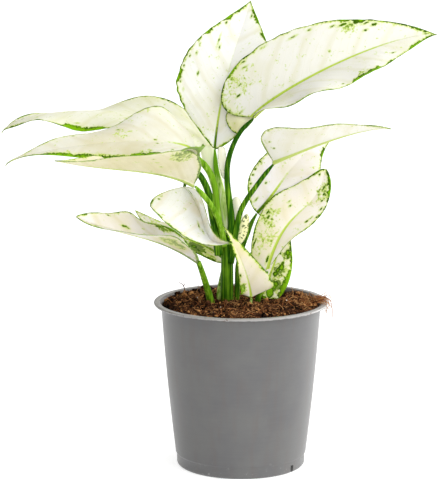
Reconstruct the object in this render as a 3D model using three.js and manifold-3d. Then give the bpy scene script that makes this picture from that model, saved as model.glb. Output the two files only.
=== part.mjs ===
// A white-leaved Chinese evergreen growing in a round grey nursery pot.
// Millimetres, +Z up. The origin is the centre of the pot's underside, and the
// side that faces the viewer is -Y.
import * as THREE from "three";
import { mergeVertices } from "three/addons/utils/BufferGeometryUtils.js";
import Module from "manifold-3d";

const wasm = await Module();
wasm.setup();

// ---------------------------------------------------------------- dimensions

const CLEARANCE = 0.3; // gap between neighbouring pieces

// Pot
const POT_HEIGHT = 115;
const RIM_RADIUS = 60;
const RIM_THICKNESS = 1.8;
const RIM_INNER_RADIUS = 56;
const BODY_TOP_RADIUS = 55;
const BODY_FOOT_RADIUS = 45.2;
const BODY_BULGE = 0.8;
const WALL = 1.4;
const LEDGE_HEIGHT = 9;
const FOOT_STEP = 0.8;
const FOOT_FLOOR = 5;
const FOOT_ROUNDING = 2.5;
const PAD_RADIUS = 20;
const RECESS_DRAFT = 1.5; // lean of the sides of the recess under the pot
const RIM_CHAMFER = 0.8;
const POT_SEGMENTS = 60;
const NOTCH = { count: 2, firstAngle: 52, width: 3, height: 5.5, depth: 12 };
const DRAIN = { count: 8, radius: 3.5, ringRadius: 30, sides: 16 };

// Potting soil
const SOIL_LEVEL = 114;
const SOIL_HOLLOW = { centre: [32, 38], radius: 26, depth: 4.5 }; // at the back right
const SOIL_LUMPS = { height: 0.7, across: 20, deep: 23 };
const SOIL_CRUMBS = { height: 0.4, across: 14, deep: 10 };
const SOIL_EDGE_DROP = 3; // how far the edge of the soil lies under its level
const SOIL_FLOOR_GAP = 2;
const SOIL_RINGS = 11;
const SOIL_SPOKES = 48;

// Lump of peat that stands proud of the soil at the back right
const CLUMP = { centre: [38, 25, 111.5], halfSizes: [8.5, 6.5, 4.5], bumps: 0.1 };

// Leaves
const BLADE_THICKNESS = 0.8;
const BLADE_ROWS = 17;
const BLADE_COLUMNS = 7;
const BLADE_SPAN = [0.008, 0.988]; // share of the midrib that carries the blade
const ROW_CROWDING = 1.15; // above 1, the rows crowd towards the stalk
const LOBE_GAIN = 2.7; // makes a lobe reach its stated length where it is longest
const LOBE_FADE = 5; // how soon a lobe fades out towards the tip
const NUDGE = 0.01; // small step along or across a blade
const STALK_SIDES = 8;

// ------------------------------------------------------------------- colours

const COLOURS = {
  pot: { color: 0x7d7f80, roughness: 0.5 },
  soil: { color: 0x4a3021, roughness: 0.95 },
  fibre: { color: 0x6d4327, roughness: 0.9 },
  creamLeaf: { color: 0xf1efdc, roughness: 0.45 },
  mottledLeaf: { color: 0xdcdfae, roughness: 0.45 },
  greenStalk: { color: 0x3f7a1e, roughness: 0.5 },
  paleStalk: { color: 0x9dbb62, roughness: 0.5 },
  papery: { color: 0xcdbf8e, roughness: 0.7 },
};

// --------------------------------------------------------------- the leaves
//
// midrib      four control points of a cubic curve, from stalk to tip
// faces       azimuth and elevation, in degrees, that the upper face looks at,
//             at the stalk and at the tip; azimuth 0 is -Y and 90 is +X
// halfWidths  of the halves left and right of the midrib, seen from above with
//             the tip pointing away
// folds       angle by which each half is raised at the midrib
// curls       further turn of each half on its way to the margin
// fullness    how quickly the outline widens at the stalk and narrows to the tip
// lobes       how far each half reaches back past the stalk
// ripples     amplitude, number of waves and phase of each margin
// stalk       points from the blade down, and its radius at both ends

const LEAVES = [
  {
    name: "crown_leaf",
    look: "creamLeaf",
    stalkLook: "paleStalk",
    midrib: [[-18, 8, 219], [-14, 19, 263], [-4, 33, 284], [7, 46, 318]],
    faces: [[-21, 8], [1, 19]],
    halfWidths: [34, 35],
    folds: [12, 21],
    curls: [-15, -11],
    fullness: [0.75, 1.15],
    lobes: [-7, 1],
    ripples: [[1.5, 2.5, -130], [1, 2.5, 60]],
    stalk: [[-18, 8.2, 219.4], [-17, 7, 206], [-14, 5, 191], [-11, 3, 177], [-9.5, 2, 163]],
    stalkRadii: [1.3, 3.4],
  },
  {
    name: "upper_right_leaf",
    look: "creamLeaf",
    stalkLook: "greenStalk",
    midrib: [[8, -4, 243], [26, -5, 263], [102, 6, 301], [134, 15, 297]],
    faces: [[-26, 50], [21, 5]],
    halfWidths: [37, 41],
    folds: [20, 51],
    curls: [-5, -13],
    fullness: [0.55, 1.4],
    lobes: [13, 1],
    ripples: [[0.5, 2.5, 160], [3.5, 4, 135]],
    stalk: [
      [8, -4, 242], [1, -4, 235], [-5, -4, 225], [-9, -4, 212],
      [-9.5, -3, 199], [-8, -3, 185], [-6.5, -2, 170], [-7.5, -0.5, 157],
    ],
    stalkRadii: [1.3, 2.7],
  },
  {
    name: "upper_left_back_leaf",
    look: "creamLeaf",
    stalkLook: "paleStalk",
    midrib: [[-23, 16, 220], [-37, 40, 249], [-160, 50, 247], [-168, 52, 224]],
    faces: [[0, 56], [0, 83]],
    halfWidths: [27, 29],
    folds: [5, -27],
    curls: [-16, 19],
    fullness: [0.6, 1.2],
    lobes: [0, 1],
    ripples: [[4.5, 3, 65], [7.5, 2, -105]],
    stalk: [
      [-23.5, 16.5, 220], [-21.5, 14.5, 211], [-17, 12.5, 196], [-13.5, 11, 181],
      [-10.5, 9, 162], [-10, 6, 148],
    ],
    stalkRadii: [5, 3.2],
  },
  {
    name: "upper_left_front_leaf",
    look: "creamLeaf",
    stalkLook: "greenStalk",
    midrib: [[-30, -4, 216], [-30, -18, 240], [-159, -27, 224], [-158, -28, 213]],
    faces: [[-9, 61], [-5, 89]],
    halfWidths: [26, 33],
    folds: [6, 18],
    curls: [-20, -16],
    fullness: [0.5, 1.95],
    lobes: [-14, -3],
    ripples: [[6.5, 1.5, 115], [5.5, 2.5, -100]],
    stalk: [
      [-29.5, -5, 216], [-25.5, -4, 211], [-21, -2, 204], [-18, -1.5, 195],
      [-16.5, -1.5, 182], [-14.5, -1, 168], [-12, 0, 156],
    ],
    stalkRadii: [2.2, 2.4],
  },
  {
    name: "left_folded_leaf",
    look: "creamLeaf",
    stalkLook: "greenStalk",
    midrib: [[-32, -18, 198], [-55, -42, 215.5], [-84, -47, 211], [-124, -51, 220.5]],
    faces: [[-1, 80], [1, 70]],
    halfWidths: [32.5, 28],
    folds: [53, 8],
    curls: [-13, -13],
    fullness: [0.45, 1.15],
    lobes: [-7, -12],
    ripples: [[1, 2.5, -105], [6, 1.5, 90]],
    stalk: [
      [-31, -19, 198], [-26, -17, 192], [-21, -14, 185], [-16.5, -10.5, 176],
      [-13, -6, 164], [-11.5, -3, 154],
    ],
    stalkRadii: [1.7, 2.2],
  },
  {
    name: "front_hanging_leaf",
    look: "creamLeaf",
    stalkLook: "greenStalk",
    midrib: [[-39, -19, 198], [-19, -33, 181], [-31, -57, 161], [-6, -77, 170]],
    faces: [[-18, 29], [-4, 51]],
    halfWidths: [21, 33],
    folds: [76, 33],
    curls: [0, -1],
    fullness: [0.35, 1.05],
    lobes: [-6, 4],
    ripples: [[1, 2.5, 140], [0.5, 2.5, -155]],
    stalk: [
      [-38.5, -19, 197.5], [-36.5, -15, 204], [-33.5, -13, 208], [-29.5, -12, 206],
      [-25.5, -10, 200], [-22, -8, 191], [-20, -6, 179], [-17, -4, 162],
      [-15, -3, 148],
    ],
    stalkRadii: [1.7, 3.2],
  },
  {
    name: "lower_left_leaf",
    look: "mottledLeaf",
    stalkLook: "greenStalk",
    midrib: [[-29, -20, 146], [-59, -26, 168], [-76, -49, 167], [-110, -51, 183]],
    faces: [[-2, 75], [-13, 50]],
    halfWidths: [25, 20],
    folds: [41, 20],
    curls: [-7, -13],
    fullness: [0.5, 0.75],
    lobes: [-2, 0],
    ripples: [[1, 2.5, -20], [2, 2.5, 170]],
    stalk: [
      [-29, -19, 146], [-26.5, -15, 138], [-24, -11, 129], [-21.5, -6, 119],
      [-19.5, -4, 108],
    ],
    stalkRadii: [1.7, 2.8],
  },
  {
    name: "left_back_leaf",
    look: "mottledLeaf",
    stalkLook: "paleStalk",
    midrib: [[-11, 17, 140], [-28, 23, 157], [-53, 33, 150], [-74, 38, 172]],
    faces: [[-15, 53], [-14, 56]],
    halfWidths: [11, 11],
    folds: [15, 6],
    curls: [-7, -12],
    fullness: [0.55, 0.9],
    lobes: [2, 0],
    ripples: [[0.5, 2.5, -95], [1.5, 2.5, 145]],
    stalk: [[-11, 17, 140], [-13, 13, 131], [-15, 8, 121], [-15.5, 4, 107]],
    stalkRadii: [1.2, 1.6],
  },
  {
    name: "right_folded_leaf",
    look: "creamLeaf",
    stalkLook: "greenStalk",
    midrib: [[22, -5, 212], [34, -19, 219], [78, -29, 241], [100, -33, 239]],
    faces: [[1, 84], [0, 69]],
    halfWidths: [27, 29],
    folds: [12, 59],
    curls: [-15, -12],
    fullness: [0.35, 1.3],
    lobes: [0, -3],
    ripples: [[0, 2.5, -135], [1.5, 2.5, -125]],
    stalk: [
      [22, -5, 211], [16, -6, 204], [9.5, -6, 195], [4, -5, 187],
      [-0.5, -4, 178], [-3, -3, 167], [-5, -2.5, 154], [-7, -1, 142],
    ],
    stalkRadii: [1.4, 2.3],
  },
  {
    name: "right_back_leaf",
    look: "creamLeaf",
    stalkLook: "greenStalk",
    midrib: [[11, 13, 174], [30, 17, 193], [37, 34, 215], [62, 43, 219]],
    faces: [[-10, 25], [0, 30]],
    halfWidths: [22, 24],
    folds: [10, 10],
    curls: [-12, -12],
    fullness: [0.55, 1],
    lobes: [0, 0],
    ripples: [[0.5, 2.5, 50], [0, 2.5, 0]],
    stalk: [
      [11, 12.5, 174], [7.5, 11, 168], [5, 10, 161], [1.5, 8, 152],
      [-2, 6, 139], [-2.5, 5, 125], [-3, 4, 107],
    ],
    stalkRadii: [1.4, 1.9],
  },
  {
    name: "right_middle_leaf",
    look: "mottledLeaf",
    stalkLook: "greenStalk",
    midrib: [[18, -7, 138], [31, -3, 187], [52, 9, 170], [58, 15, 205]],
    faces: [[-5, 25], [1, 31]],
    halfWidths: [22, 15],
    folds: [-2, 26],
    curls: [-17, -3],
    fullness: [0.45, 0.6],
    lobes: [6, -11],
    ripples: [[0.5, 2.5, 25], [0, 2.5, 0]],
    stalk: [[18, -7, 137], [16, -6, 130], [13, -5, 122], [10, -4, 108]],
    stalkRadii: [1.5, 1.9],
  },
  {
    name: "lower_right_leaf",
    look: "mottledLeaf",
    stalkLook: "greenStalk",
    midrib: [[14, 9, 117], [22, 14, 132], [26, 19, 147], [33, 28, 165]],
    faces: [[10, 10], [10, 25]],
    halfWidths: [20, 14],
    folds: [10, 15],
    curls: [-15, -15],
    fullness: [0.5, 1.05],
    lobes: [0, 4],
    ripples: [[0, 2.5, 0], [0.5, 2.5, -100]],
    stalk: [[14, 8.5, 117.5], [13, 4, 118], [11, 0, 115], [10.5, -2, 106]],
    stalkRadii: [1.6, 1.9],
  },
  {
    name: "front_low_leaf",
    look: "creamLeaf",
    stalkLook: "paleStalk",
    midrib: [[7, -14, 120], [6, -13, 121], [8, -20, 137], [-13, -34, 175]],
    faces: [[16, 5], [15, 15]],
    halfWidths: [8, 17],
    folds: [15, 6],
    curls: [-10, -9],
    fullness: [0.4, 1.15],
    lobes: [-3, -2],
    ripples: [[1.5, 2.5, -50], [0.5, 2.5, -130]],
    stalk: [[7, -13, 119.5], [6.5, -11.5, 114], [6, -10, 107]],
    stalkRadii: [1.3, 1.5],
  },
];

// Thin scales and sheaths that wrap the stalks, and the base of the upper right leaf
// that folds down over its own stalk.
const SCALES = [
  {
    name: "papery_scale",
    look: "papery",
    midrib: [[-3, 3, 158], [-2.5, 4, 168], [-2.5, 4, 178], [-3.5, 3, 187]],
    faces: [[10, 0], [10, 0]],
    halfWidths: [5, 5],
    folds: [-15, -15],
    curls: [-20, -20],
    fullness: [0.3, 0.4],
    lobes: [0, 0],
    ripples: [[0, 1, 0], [0, 1, 0]],
  },
  {
    name: "mottled_scale",
    look: "mottledLeaf",
    midrib: [[-2, 0, 155], [1, 0, 162], [3, 0, 168], [4, -1, 176]],
    faces: [[15, 0], [15, 0]],
    halfWidths: [4, 4],
    folds: [-10, -10],
    curls: [-15, -15],
    fullness: [0.3, 0.5],
    lobes: [0, 0],
    ripples: [[0, 1, 0], [0, 1, 0]],
  },
  {
    name: "crown_sheath",
    look: "papery",
    midrib: [[-11, -1, 200], [-12.5, 0, 208], [-13.3, 1, 214], [-13.5, 1, 222]],
    faces: [[0, 0], [0, 0]],
    halfWidths: [3, 3],
    folds: [-15, -15],
    curls: [-10, -10],
    fullness: [0.3, 0.15],
    lobes: [0, 0],
    ripples: [[0, 1, 0], [0, 1, 0]],
  },
  {
    name: "upper_right_leaf_flap",
    look: "creamLeaf",
    midrib: [[-3, -1.8, 231.5], [-2.5, -0.3, 237], [-2, 1.2, 241], [-1, 2.7, 246]],
    faces: [[-29, 17], [-29, 17]],
    halfWidths: [11.5, 11],
    folds: [-8, -8],
    curls: [-8, -8],
    fullness: [0.6, 0.15],
    lobes: [0, 0],
    ripples: [[0, 1, 0], [0, 1, 0]],
  },
];

const STEM = {
  points: [[-9.5, 3, 104], [-9.5, 2.5, 124], [-9.5, 2, 142], [-9.5, 1.5, 160]],
  radii: [4.6, 4],
};

const TUFT = {
  points: [[46, -2, 111], [51, -3, 117], [57, -4, 118], [61, -5, 116.5], [62.5, -6, 111], [62.5, -7, 106]],
  radii: [3, 1.2],
};

// ------------------------------------------------------------ solid geometry

const radians = THREE.MathUtils.degToRad;
const mix = THREE.MathUtils.lerp;
const vector = (p) => new THREE.Vector3(...p);
const steps = (count) => Array.from({ length: count + 1 }, (_, i) => i / count);

// The solid that a closed triangle geometry bounds, turned outside out if needed.
function solidFrom(geometry) {
  const bare = new THREE.BufferGeometry();
  bare.setAttribute("position", geometry.getAttribute("position"));
  bare.setIndex(geometry.getIndex());
  const merged = mergeVertices(bare, 1e-4);
  const build = (triVerts) =>
    new wasm.Manifold(
      new wasm.Mesh({
        numProp: 3,
        vertProperties: merged.attributes.position.array,
        triVerts,
      }),
    );
  const triangles = new Uint32Array(merged.index.array);
  const made = build(triangles);
  if (made.volume() > 0) return made;
  for (let i = 0; i < triangles.length; i += 3)
    [triangles[i], triangles[i + 1]] = [triangles[i + 1], triangles[i]];
  return build(triangles);
}

// Skins a row of closed rings that all hold the same even number of points, and
// closes both ends by joining each point to the one across the ring.
function loft(rings) {
  const size = rings[0].length;
  const positions = rings.flat().flatMap((p) => p.toArray());
  const index = [];
  const quad = (a, b, c, d) => index.push(a, b, c, a, c, d);
  for (let row = 0; row + 1 < rings.length; row++)
    for (let i = 0; i < size; i++) {
      const next = (i + 1) % size;
      const here = row * size;
      const above = here + size;
      quad(here + i, here + next, above + next, above + i);
    }
  const last = (rings.length - 1) * size;
  for (let i = 0; i + 1 < size / 2; i++) {
    const across = size - 1 - i;
    quad(i, across, across - 1, i + 1);
    quad(last + i, last + i + 1, last + across - 1, last + across);
  }
  const geometry = new THREE.BufferGeometry();
  geometry.setAttribute("position", new THREE.Float32BufferAttribute(positions, 3));
  geometry.setIndex(index);
  return solidFrom(geometry);
}

const larger = (a, b) => (b.volume() > a.volume() ? b : a);
const largestPiece = (solid) => solid.decompose().reduce(larger);

// ------------------------------------------------------------------- the pot

function potSolid() {
  const bodyTop = POT_HEIGHT - RIM_THICKNESS;
  const bodyRadius = (z) => {
    const u = (z - LEDGE_HEIGHT) / (bodyTop - LEDGE_HEIGHT);
    return mix(BODY_FOOT_RADIUS, BODY_TOP_RADIUS, u) + BODY_BULGE * Math.sin(Math.PI * u);
  };
  const footTop = LEDGE_HEIGHT - FOOT_STEP;
  const footOuter = BODY_FOOT_RADIUS - FOOT_STEP;
  const toe = footOuter - FOOT_ROUNDING;
  const levels = steps(5).map((share) => mix(LEDGE_HEIGHT, bodyTop, share));
  const outside = levels.map((z) => [bodyRadius(z), z]);
  const inside = levels
    .slice(1, -1)
    .reverse()
    .map((z) => [bodyRadius(z) - WALL, z]);
  const corner = steps(3).map((share) => {
    const a = radians(mix(-90, 0, share));
    return [toe + FOOT_ROUNDING * Math.cos(a), FOOT_ROUNDING * (1 + Math.sin(a))];
  });
  const edge = RIM_THICKNESS / 2;
  const lip = steps(4).map((share) => {
    const a = radians(mix(-90, 90, share));
    return [RIM_RADIUS - edge + edge * Math.cos(a), POT_HEIGHT - edge + edge * Math.sin(a)];
  });
  const profile = [
    [0, 0],
    [PAD_RADIUS, 0],
    [PAD_RADIUS + RECESS_DRAFT, FOOT_FLOOR - WALL],
    [toe - WALL - RECESS_DRAFT, FOOT_FLOOR - WALL],
    [toe - WALL, 0],
    ...corner,
    [footOuter, footTop],
    ...outside,
    ...lip,
    [RIM_INNER_RADIUS, POT_HEIGHT],
    [RIM_INNER_RADIUS - RIM_CHAMFER, POT_HEIGHT - RIM_CHAMFER],
    ...inside,
    [bodyRadius(LEDGE_HEIGHT) - WALL, LEDGE_HEIGHT],
    [toe - WALL / 2, FOOT_FLOOR],
    [PAD_RADIUS + RECESS_DRAFT - WALL / 2, FOOT_FLOOR],
    [PAD_RADIUS - WALL / 2, WALL],
    [0, WALL],
  ].map(([r, z]) => new THREE.Vector2(r, z));
  const shell = new THREE.LatheGeometry(profile, POT_SEGMENTS).rotateX(Math.PI / 2);
  let pot = solidFrom(shell);
  for (let i = 0; i < NOTCH.count; i++) {
    const turn = radians(NOTCH.firstAngle + (360 / NOTCH.count) * i - 90);
    const slit = new THREE.BoxGeometry(NOTCH.depth, NOTCH.width, 2 * NOTCH.height);
    slit.translate(toe, 0, 0).rotateZ(turn);
    pot = pot.subtract(solidFrom(slit));
  }
  for (let i = 0; i < DRAIN.count; i++) {
    const turn = ((i + 0.5) * 2 * Math.PI) / DRAIN.count;
    const hole = new THREE.CylinderGeometry(DRAIN.radius, DRAIN.radius, 4 * WALL, DRAIN.sides);
    hole.rotateX(Math.PI / 2).translate(DRAIN.ringRadius, 0, FOOT_FLOOR - WALL / 2).rotateZ(turn);
    pot = pot.subtract(solidFrom(hole));
  }
  return { pot, bodyRadius };
}

// ------------------------------------------------------------------ the soil

// Waves of the given height that repeat every `across` millimetres along X and
// every `deep` millimetres along Y.
function waves(kind, x, y) {
  const alongX = Math.sin((2 * Math.PI * x) / kind.across + 1);
  return kind.height * alongX * Math.cos((2 * Math.PI * y) / kind.deep);
}

function soilLevel(x, y) {
  const [hollowX, hollowY] = SOIL_HOLLOW.centre;
  const away = Math.hypot(x - hollowX, y - hollowY) / SOIL_HOLLOW.radius;
  const sink = away < 1 ? SOIL_HOLLOW.depth * (1 - away ** 2) ** 2 : 0;
  return SOIL_LEVEL - sink + waves(SOIL_LUMPS, x, y) + waves(SOIL_CRUMBS, x, y);
}

function soilSolid(bodyRadius) {
  const positions = [];
  const index = [];
  const innerRadius = (z) => bodyRadius(z) - WALL - 2 * CLEARANCE;
  const floor = LEDGE_HEIGHT + SOIL_FLOOR_GAP;
  const edgeLevel = SOIL_LEVEL - SOIL_HOLLOW.depth - SOIL_EDGE_DROP;
  const rings = [];
  for (const share of steps(SOIL_RINGS).slice(1))
    rings.push({ radius: innerRadius(edgeLevel) * share, level: null });
  for (const share of steps(4).slice(1)) {
    const level = mix(edgeLevel, floor, share);
    rings.push({ radius: innerRadius(level), level });
  }
  positions.push(0, 0, soilLevel(0, 0));
  for (const ring of rings)
    for (let s = 0; s < SOIL_SPOKES; s++) {
      const a = (2 * Math.PI * s) / SOIL_SPOKES;
      const x = ring.radius * Math.cos(a);
      const y = ring.radius * Math.sin(a);
      positions.push(x, y, ring.level ?? soilLevel(x, y));
    }
  positions.push(0, 0, floor);
  const at = (ring, s) => 1 + ring * SOIL_SPOKES + (s % SOIL_SPOKES);
  const bottom = positions.length / 3 - 1;
  for (let s = 0; s < SOIL_SPOKES; s++) {
    index.push(0, at(0, s), at(0, s + 1));
    for (let ring = 0; ring + 1 < rings.length; ring++) {
      index.push(at(ring, s), at(ring + 1, s), at(ring + 1, s + 1));
      index.push(at(ring, s), at(ring + 1, s + 1), at(ring, s + 1));
    }
    index.push(bottom, at(rings.length - 1, s + 1), at(rings.length - 1, s));
  }
  const geometry = new THREE.BufferGeometry();
  geometry.setAttribute("position", new THREE.Float32BufferAttribute(positions, 3));
  geometry.setIndex(index);
  return solidFrom(geometry);
}

// An egg-shaped lump with a bumpy skin, larger by `extra` all round.
function clumpSolid(extra = 0) {
  const skin = new THREE.SphereGeometry(1, 16, 10);
  const points = skin.getAttribute("position");
  const point = new THREE.Vector3();
  const size = vector(CLUMP.halfSizes).addScalar(extra);
  for (let i = 0; i < points.count; i++) {
    point.fromBufferAttribute(points, i);
    const bump = 1 + CLUMP.bumps * Math.sin(4 * point.x + 1) * Math.cos(5 * point.y);
    point.multiply(size).multiplyScalar(bump).add(vector(CLUMP.centre));
    points.setXYZ(i, ...point);
  }
  return solidFrom(skin);
}

// ---------------------------------------------------------- stalks and blades

// A tapering round stalk along a smooth curve through the points, thicker by
// `extra` all round when it is used to clear room in a neighbour.
function stalkSolid(points, [topRadius, footRadius], extra = 0) {
  const curve = new THREE.CatmullRomCurve3(points.map(vector), false, "centripetal");
  const last = 2 * (points.length - 1);
  const frames = curve.computeFrenetFrames(last, false);
  const rings = [];
  for (let i = 0; i <= last; i++) {
    const centre = curve.getPointAt(i / last);
    if (i === 0) centre.addScaledVector(frames.tangents[0], -extra);
    if (i === last) centre.addScaledVector(frames.tangents[last], extra);
    const radius = mix(topRadius, footRadius, i / last) + extra;
    const ring = [];
    for (let s = 0; s < STALK_SIDES; s++) {
      const a = (2 * Math.PI * s) / STALK_SIDES;
      ring.push(
        centre
          .clone()
          .addScaledVector(frames.normals[i], radius * Math.cos(a))
          .addScaledVector(frames.binormals[i], radius * Math.sin(a)),
      );
    }
    rings.push(ring);
  }
  return loft(rings);
}

function lookDirection([azimuth, elevation]) {
  const a = radians(azimuth);
  const e = radians(elevation);
  const level = Math.cos(e);
  return new THREE.Vector3(Math.sin(a) * level, -Math.cos(a) * level, Math.sin(e));
}

// A point of the blade: t runs from the stalk (0) to the tip (1), and u from the
// left margin (1) over the midrib (0) to the right margin (-1).
function bladePoint(leaf, t, u) {
  const midrib = new THREE.CubicBezierCurve3(...leaf.midrib.map(vector));
  const along = midrib.getTangent(t);
  const face = lookDirection(leaf.faces[0]).lerp(lookDirection(leaf.faces[1]), t);
  face.addScaledVector(along, -face.dot(along)).normalize();
  const side = u >= 0 ? 0 : 1;
  const reach = Math.abs(u);
  const [rise, fall] = leaf.fullness;
  const peak = (rise ** rise * fall ** fall) / (rise + fall) ** (rise + fall);
  const spread = (t ** rise * (1 - t) ** fall) / peak;
  const width = leaf.halfWidths[side] * spread;
  const halfTurn = (radians(leaf.curls[side]) * reach) / 2;
  const chord = width * reach * (halfTurn === 0 ? 1 : Math.sin(halfTurn) / halfTurn);
  const slant = radians(leaf.folds[side]) + halfTurn;
  const [amplitude, count, phase] = leaf.ripples[side];
  const swing = Math.cos(2 * Math.PI * count * t - radians(phase));
  const ripple = amplitude * swing * spread * reach ** 2;
  const back = LOBE_GAIN * leaf.lobes[side] * spread * (1 - t) ** LOBE_FADE * reach;
  const outward = new THREE.Vector3().crossVectors(face, along);
  outward.multiplyScalar(side === 0 ? 1 : -1);
  return midrib
    .getPoint(t)
    .addScaledVector(outward, chord * Math.cos(slant))
    .addScaledVector(face, chord * Math.sin(slant) + ripple)
    .addScaledVector(along, -back);
}

// The blade as a thin solid, grown by `extra` all round when it clears room for itself.
function bladeSolid(leaf, extra = 0) {
  const offset = BLADE_THICKNESS / 2 + extra;
  const rings = [];
  for (const share of steps(BLADE_ROWS - 1)) {
    const t = mix(...BLADE_SPAN, share ** ROW_CROWDING);
    const longer = share === 0 ? -extra : share === 1 ? extra : 0;
    const upper = [];
    const lower = [];
    for (let column = 0; column < BLADE_COLUMNS; column++) {
      const u = 1 - (2 * column) / (BLADE_COLUMNS - 1);
      const wider = Math.abs(u) === 1 ? u * extra : 0;
      const point = bladePoint(leaf, t, u);
      const behind = bladePoint(leaf, t - NUDGE / 2, u);
      const forward = bladePoint(leaf, t + NUDGE, u).sub(behind);
      const right = bladePoint(leaf, t, Math.max(-1, u - 3 * NUDGE));
      const across = bladePoint(leaf, t, Math.min(1, u + 3 * NUDGE)).sub(right);
      const normal = new THREE.Vector3().crossVectors(forward, across).normalize();
      point.addScaledVector(forward.normalize(), longer);
      point.addScaledVector(across.normalize(), wider);
      upper.push(point.clone().addScaledVector(normal, offset));
      lower.unshift(point.clone().addScaledVector(normal, -offset));
    }
    rings.push([...upper, ...lower]);
  }
  return loft(rings);
}

// ------------------------------------------------------------------ assembly

const { pot, bodyRadius } = potSolid();
const pieces = [{ name: "pot", look: "pot", solid: pot, room: null }];

// Adds a piece after cutting away the room that the earlier pieces need.
function addPiece(name, look, build) {
  let solid = build(0);
  for (const { room } of pieces.slice(1))
    if (solid.intersect(room).volume() > 0) solid = largestPiece(solid.subtract(room));
  pieces.push({ name, look, solid, room: build(CLEARANCE) });
}

function addStalk(name, look, points, radii) {
  addPiece(name, look, (extra) => stalkSolid(points, radii, extra));
}

function addBlade(name, leaf) {
  addPiece(name, leaf.look, (extra) => bladeSolid(leaf, extra));
}

addStalk("main_stem", "greenStalk", STEM.points, STEM.radii);
for (const leaf of LEAVES) addStalk(leaf.name + "_stalk", leaf.stalkLook, leaf.stalk, leaf.stalkRadii);
for (const leaf of LEAVES) addBlade(leaf.name + "_blade", leaf);
for (const scale of SCALES) addBlade(scale.name, scale);
addStalk("fibre_tuft", "fibre", TUFT.points, TUFT.radii);
addPiece("peat_clump", "soil", clumpSolid);
addPiece("potting_soil", "soil", () => soilSolid(bodyRadius));

const plant = new THREE.Group();
plant.name = "potted_chinese_evergreen";
for (const { name, look, solid } of pieces) {
  const { vertProperties, triVerts } = solid.getMesh();
  const positions = Float32Array.from(vertProperties);
  const geometry = new THREE.BufferGeometry();
  geometry.setAttribute("position", new THREE.BufferAttribute(positions, 3));
  geometry.setIndex(new THREE.BufferAttribute(Uint32Array.from(triVerts), 1));
  geometry.computeVertexNormals();
  const material = new THREE.MeshStandardMaterial({ metalness: 0, ...COLOURS[look] });
  const object = new THREE.Mesh(geometry, material);
  object.name = name;
  plant.add(object);
}

export default plant;
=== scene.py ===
"""A white-leaved Chinese evergreen in a round grey nursery pot, standing on a pale floor.

Lengths are in millimetres until a mesh is made, which is in metres. The origin is the
centre of the pot's underside, +Z is up and the viewer is on the -Y side. A tone is a
screen colour, with values of 0 to 255.
"""

import math
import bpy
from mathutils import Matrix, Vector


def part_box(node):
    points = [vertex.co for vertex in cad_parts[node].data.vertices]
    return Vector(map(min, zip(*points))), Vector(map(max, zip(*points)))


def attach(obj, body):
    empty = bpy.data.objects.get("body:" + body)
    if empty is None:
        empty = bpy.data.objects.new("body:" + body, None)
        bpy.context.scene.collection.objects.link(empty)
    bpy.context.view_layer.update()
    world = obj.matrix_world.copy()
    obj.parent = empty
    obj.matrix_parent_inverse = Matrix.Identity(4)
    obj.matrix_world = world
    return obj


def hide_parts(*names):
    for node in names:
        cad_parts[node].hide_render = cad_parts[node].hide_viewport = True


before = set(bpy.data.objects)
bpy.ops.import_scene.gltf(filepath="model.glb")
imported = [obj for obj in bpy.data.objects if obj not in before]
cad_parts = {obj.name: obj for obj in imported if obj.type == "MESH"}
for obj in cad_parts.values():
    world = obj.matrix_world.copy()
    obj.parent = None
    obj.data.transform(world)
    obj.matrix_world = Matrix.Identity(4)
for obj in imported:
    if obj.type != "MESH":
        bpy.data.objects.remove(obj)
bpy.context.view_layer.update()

from types import SimpleNamespace

import bpy
import numpy as np
from mathutils import Vector

MM = 0.001

# ------------------------------------------------------------------ camera and light

CAMERA_TARGET = (-14.4, 0, 158)
CAMERA_DISTANCE = 1600
CAMERA_ELEVATION = 10.5
FOCAL_PIXELS = 2333.3
FRAME_HEIGHT = 479
SENSOR = 36
FLOOR_HALF_SIDE = 12000
TENT_LEVEL = 1.02
TENT_CONTRAST = 0.95
TENT_BRIGHT_SIDE = (0.84, -0.46, 0.28)
PANEL_SIDE = (-1, 0, 0)
PANEL_EDGES = (0.3, 0.75)
PANEL_LEVEL = 0.02
LIGHTS = {
    "key": {"spot": (700, -900, 1100), "aim": (0, 0, 150), "size": (700, 700), "watts": 2},
    "edge": {"spot": (1000, 520, 250), "aim": (30, 0, 60), "size": (300, 700), "watts": 7},
}

# ------------------------------------------------------------------ pot

POT_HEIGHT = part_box("pot")[1].z / MM
RIM_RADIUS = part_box("pot")[1].x / MM
RIM_THICKNESS = 1.8
RIM_INNER_RADIUS = 56
RIM_CHAMFER = 0.8
BODY_TOP = POT_HEIGHT - RIM_THICKNESS
BODY_TOP_RADIUS = 55
BODY_FOOT_RADIUS = 45.2
BODY_BULGE = 0.8
WALL = 1.4
LEDGE_HEIGHT = 9
FOOT_STEP = 0.8
FOOT_FLOOR = 5
FOOT_ROUNDING = 2.5
TOE_RADIUS = BODY_FOOT_RADIUS - FOOT_STEP - FOOT_ROUNDING
PAD_RADIUS = 20
RECESS_DRAFT = 1.5
NOTCH = {"count": 2, "first_angle": 52, "width": 3, "height": 5.5, "depth": 12}
DRAIN = {"count": 8, "radius": 3.5, "ring_radius": 30, "sides": 32}
POT_SIDES = 180
SHARP_ANGLE = 40  # edges sharper than this are shaded as edges
POT_TONES = ((88, 88, 89), (95, 95, 94))
POT_STREAK_TONE = (94, 84, 79)
POT_LINE_TONE = (112, 112, 112)
POT_SCUFF_TONE = (170, 168, 166)
# painted highlight on the top of the lip
POT_LIP_HIGHLIGHT_TONE = (192, 189, 186)
# painted shadow under the lip
POT_UNDER_LIP_SHADE_TONE = (48, 46, 44)
POT_DUST_TONE = (92, 64, 44)
# darker brown of the inner ledge and of the wall below the lip
POT_INNER_BROWN_TONE = (58, 48, 42)

# ------------------------------------------------------------------ soil

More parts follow.
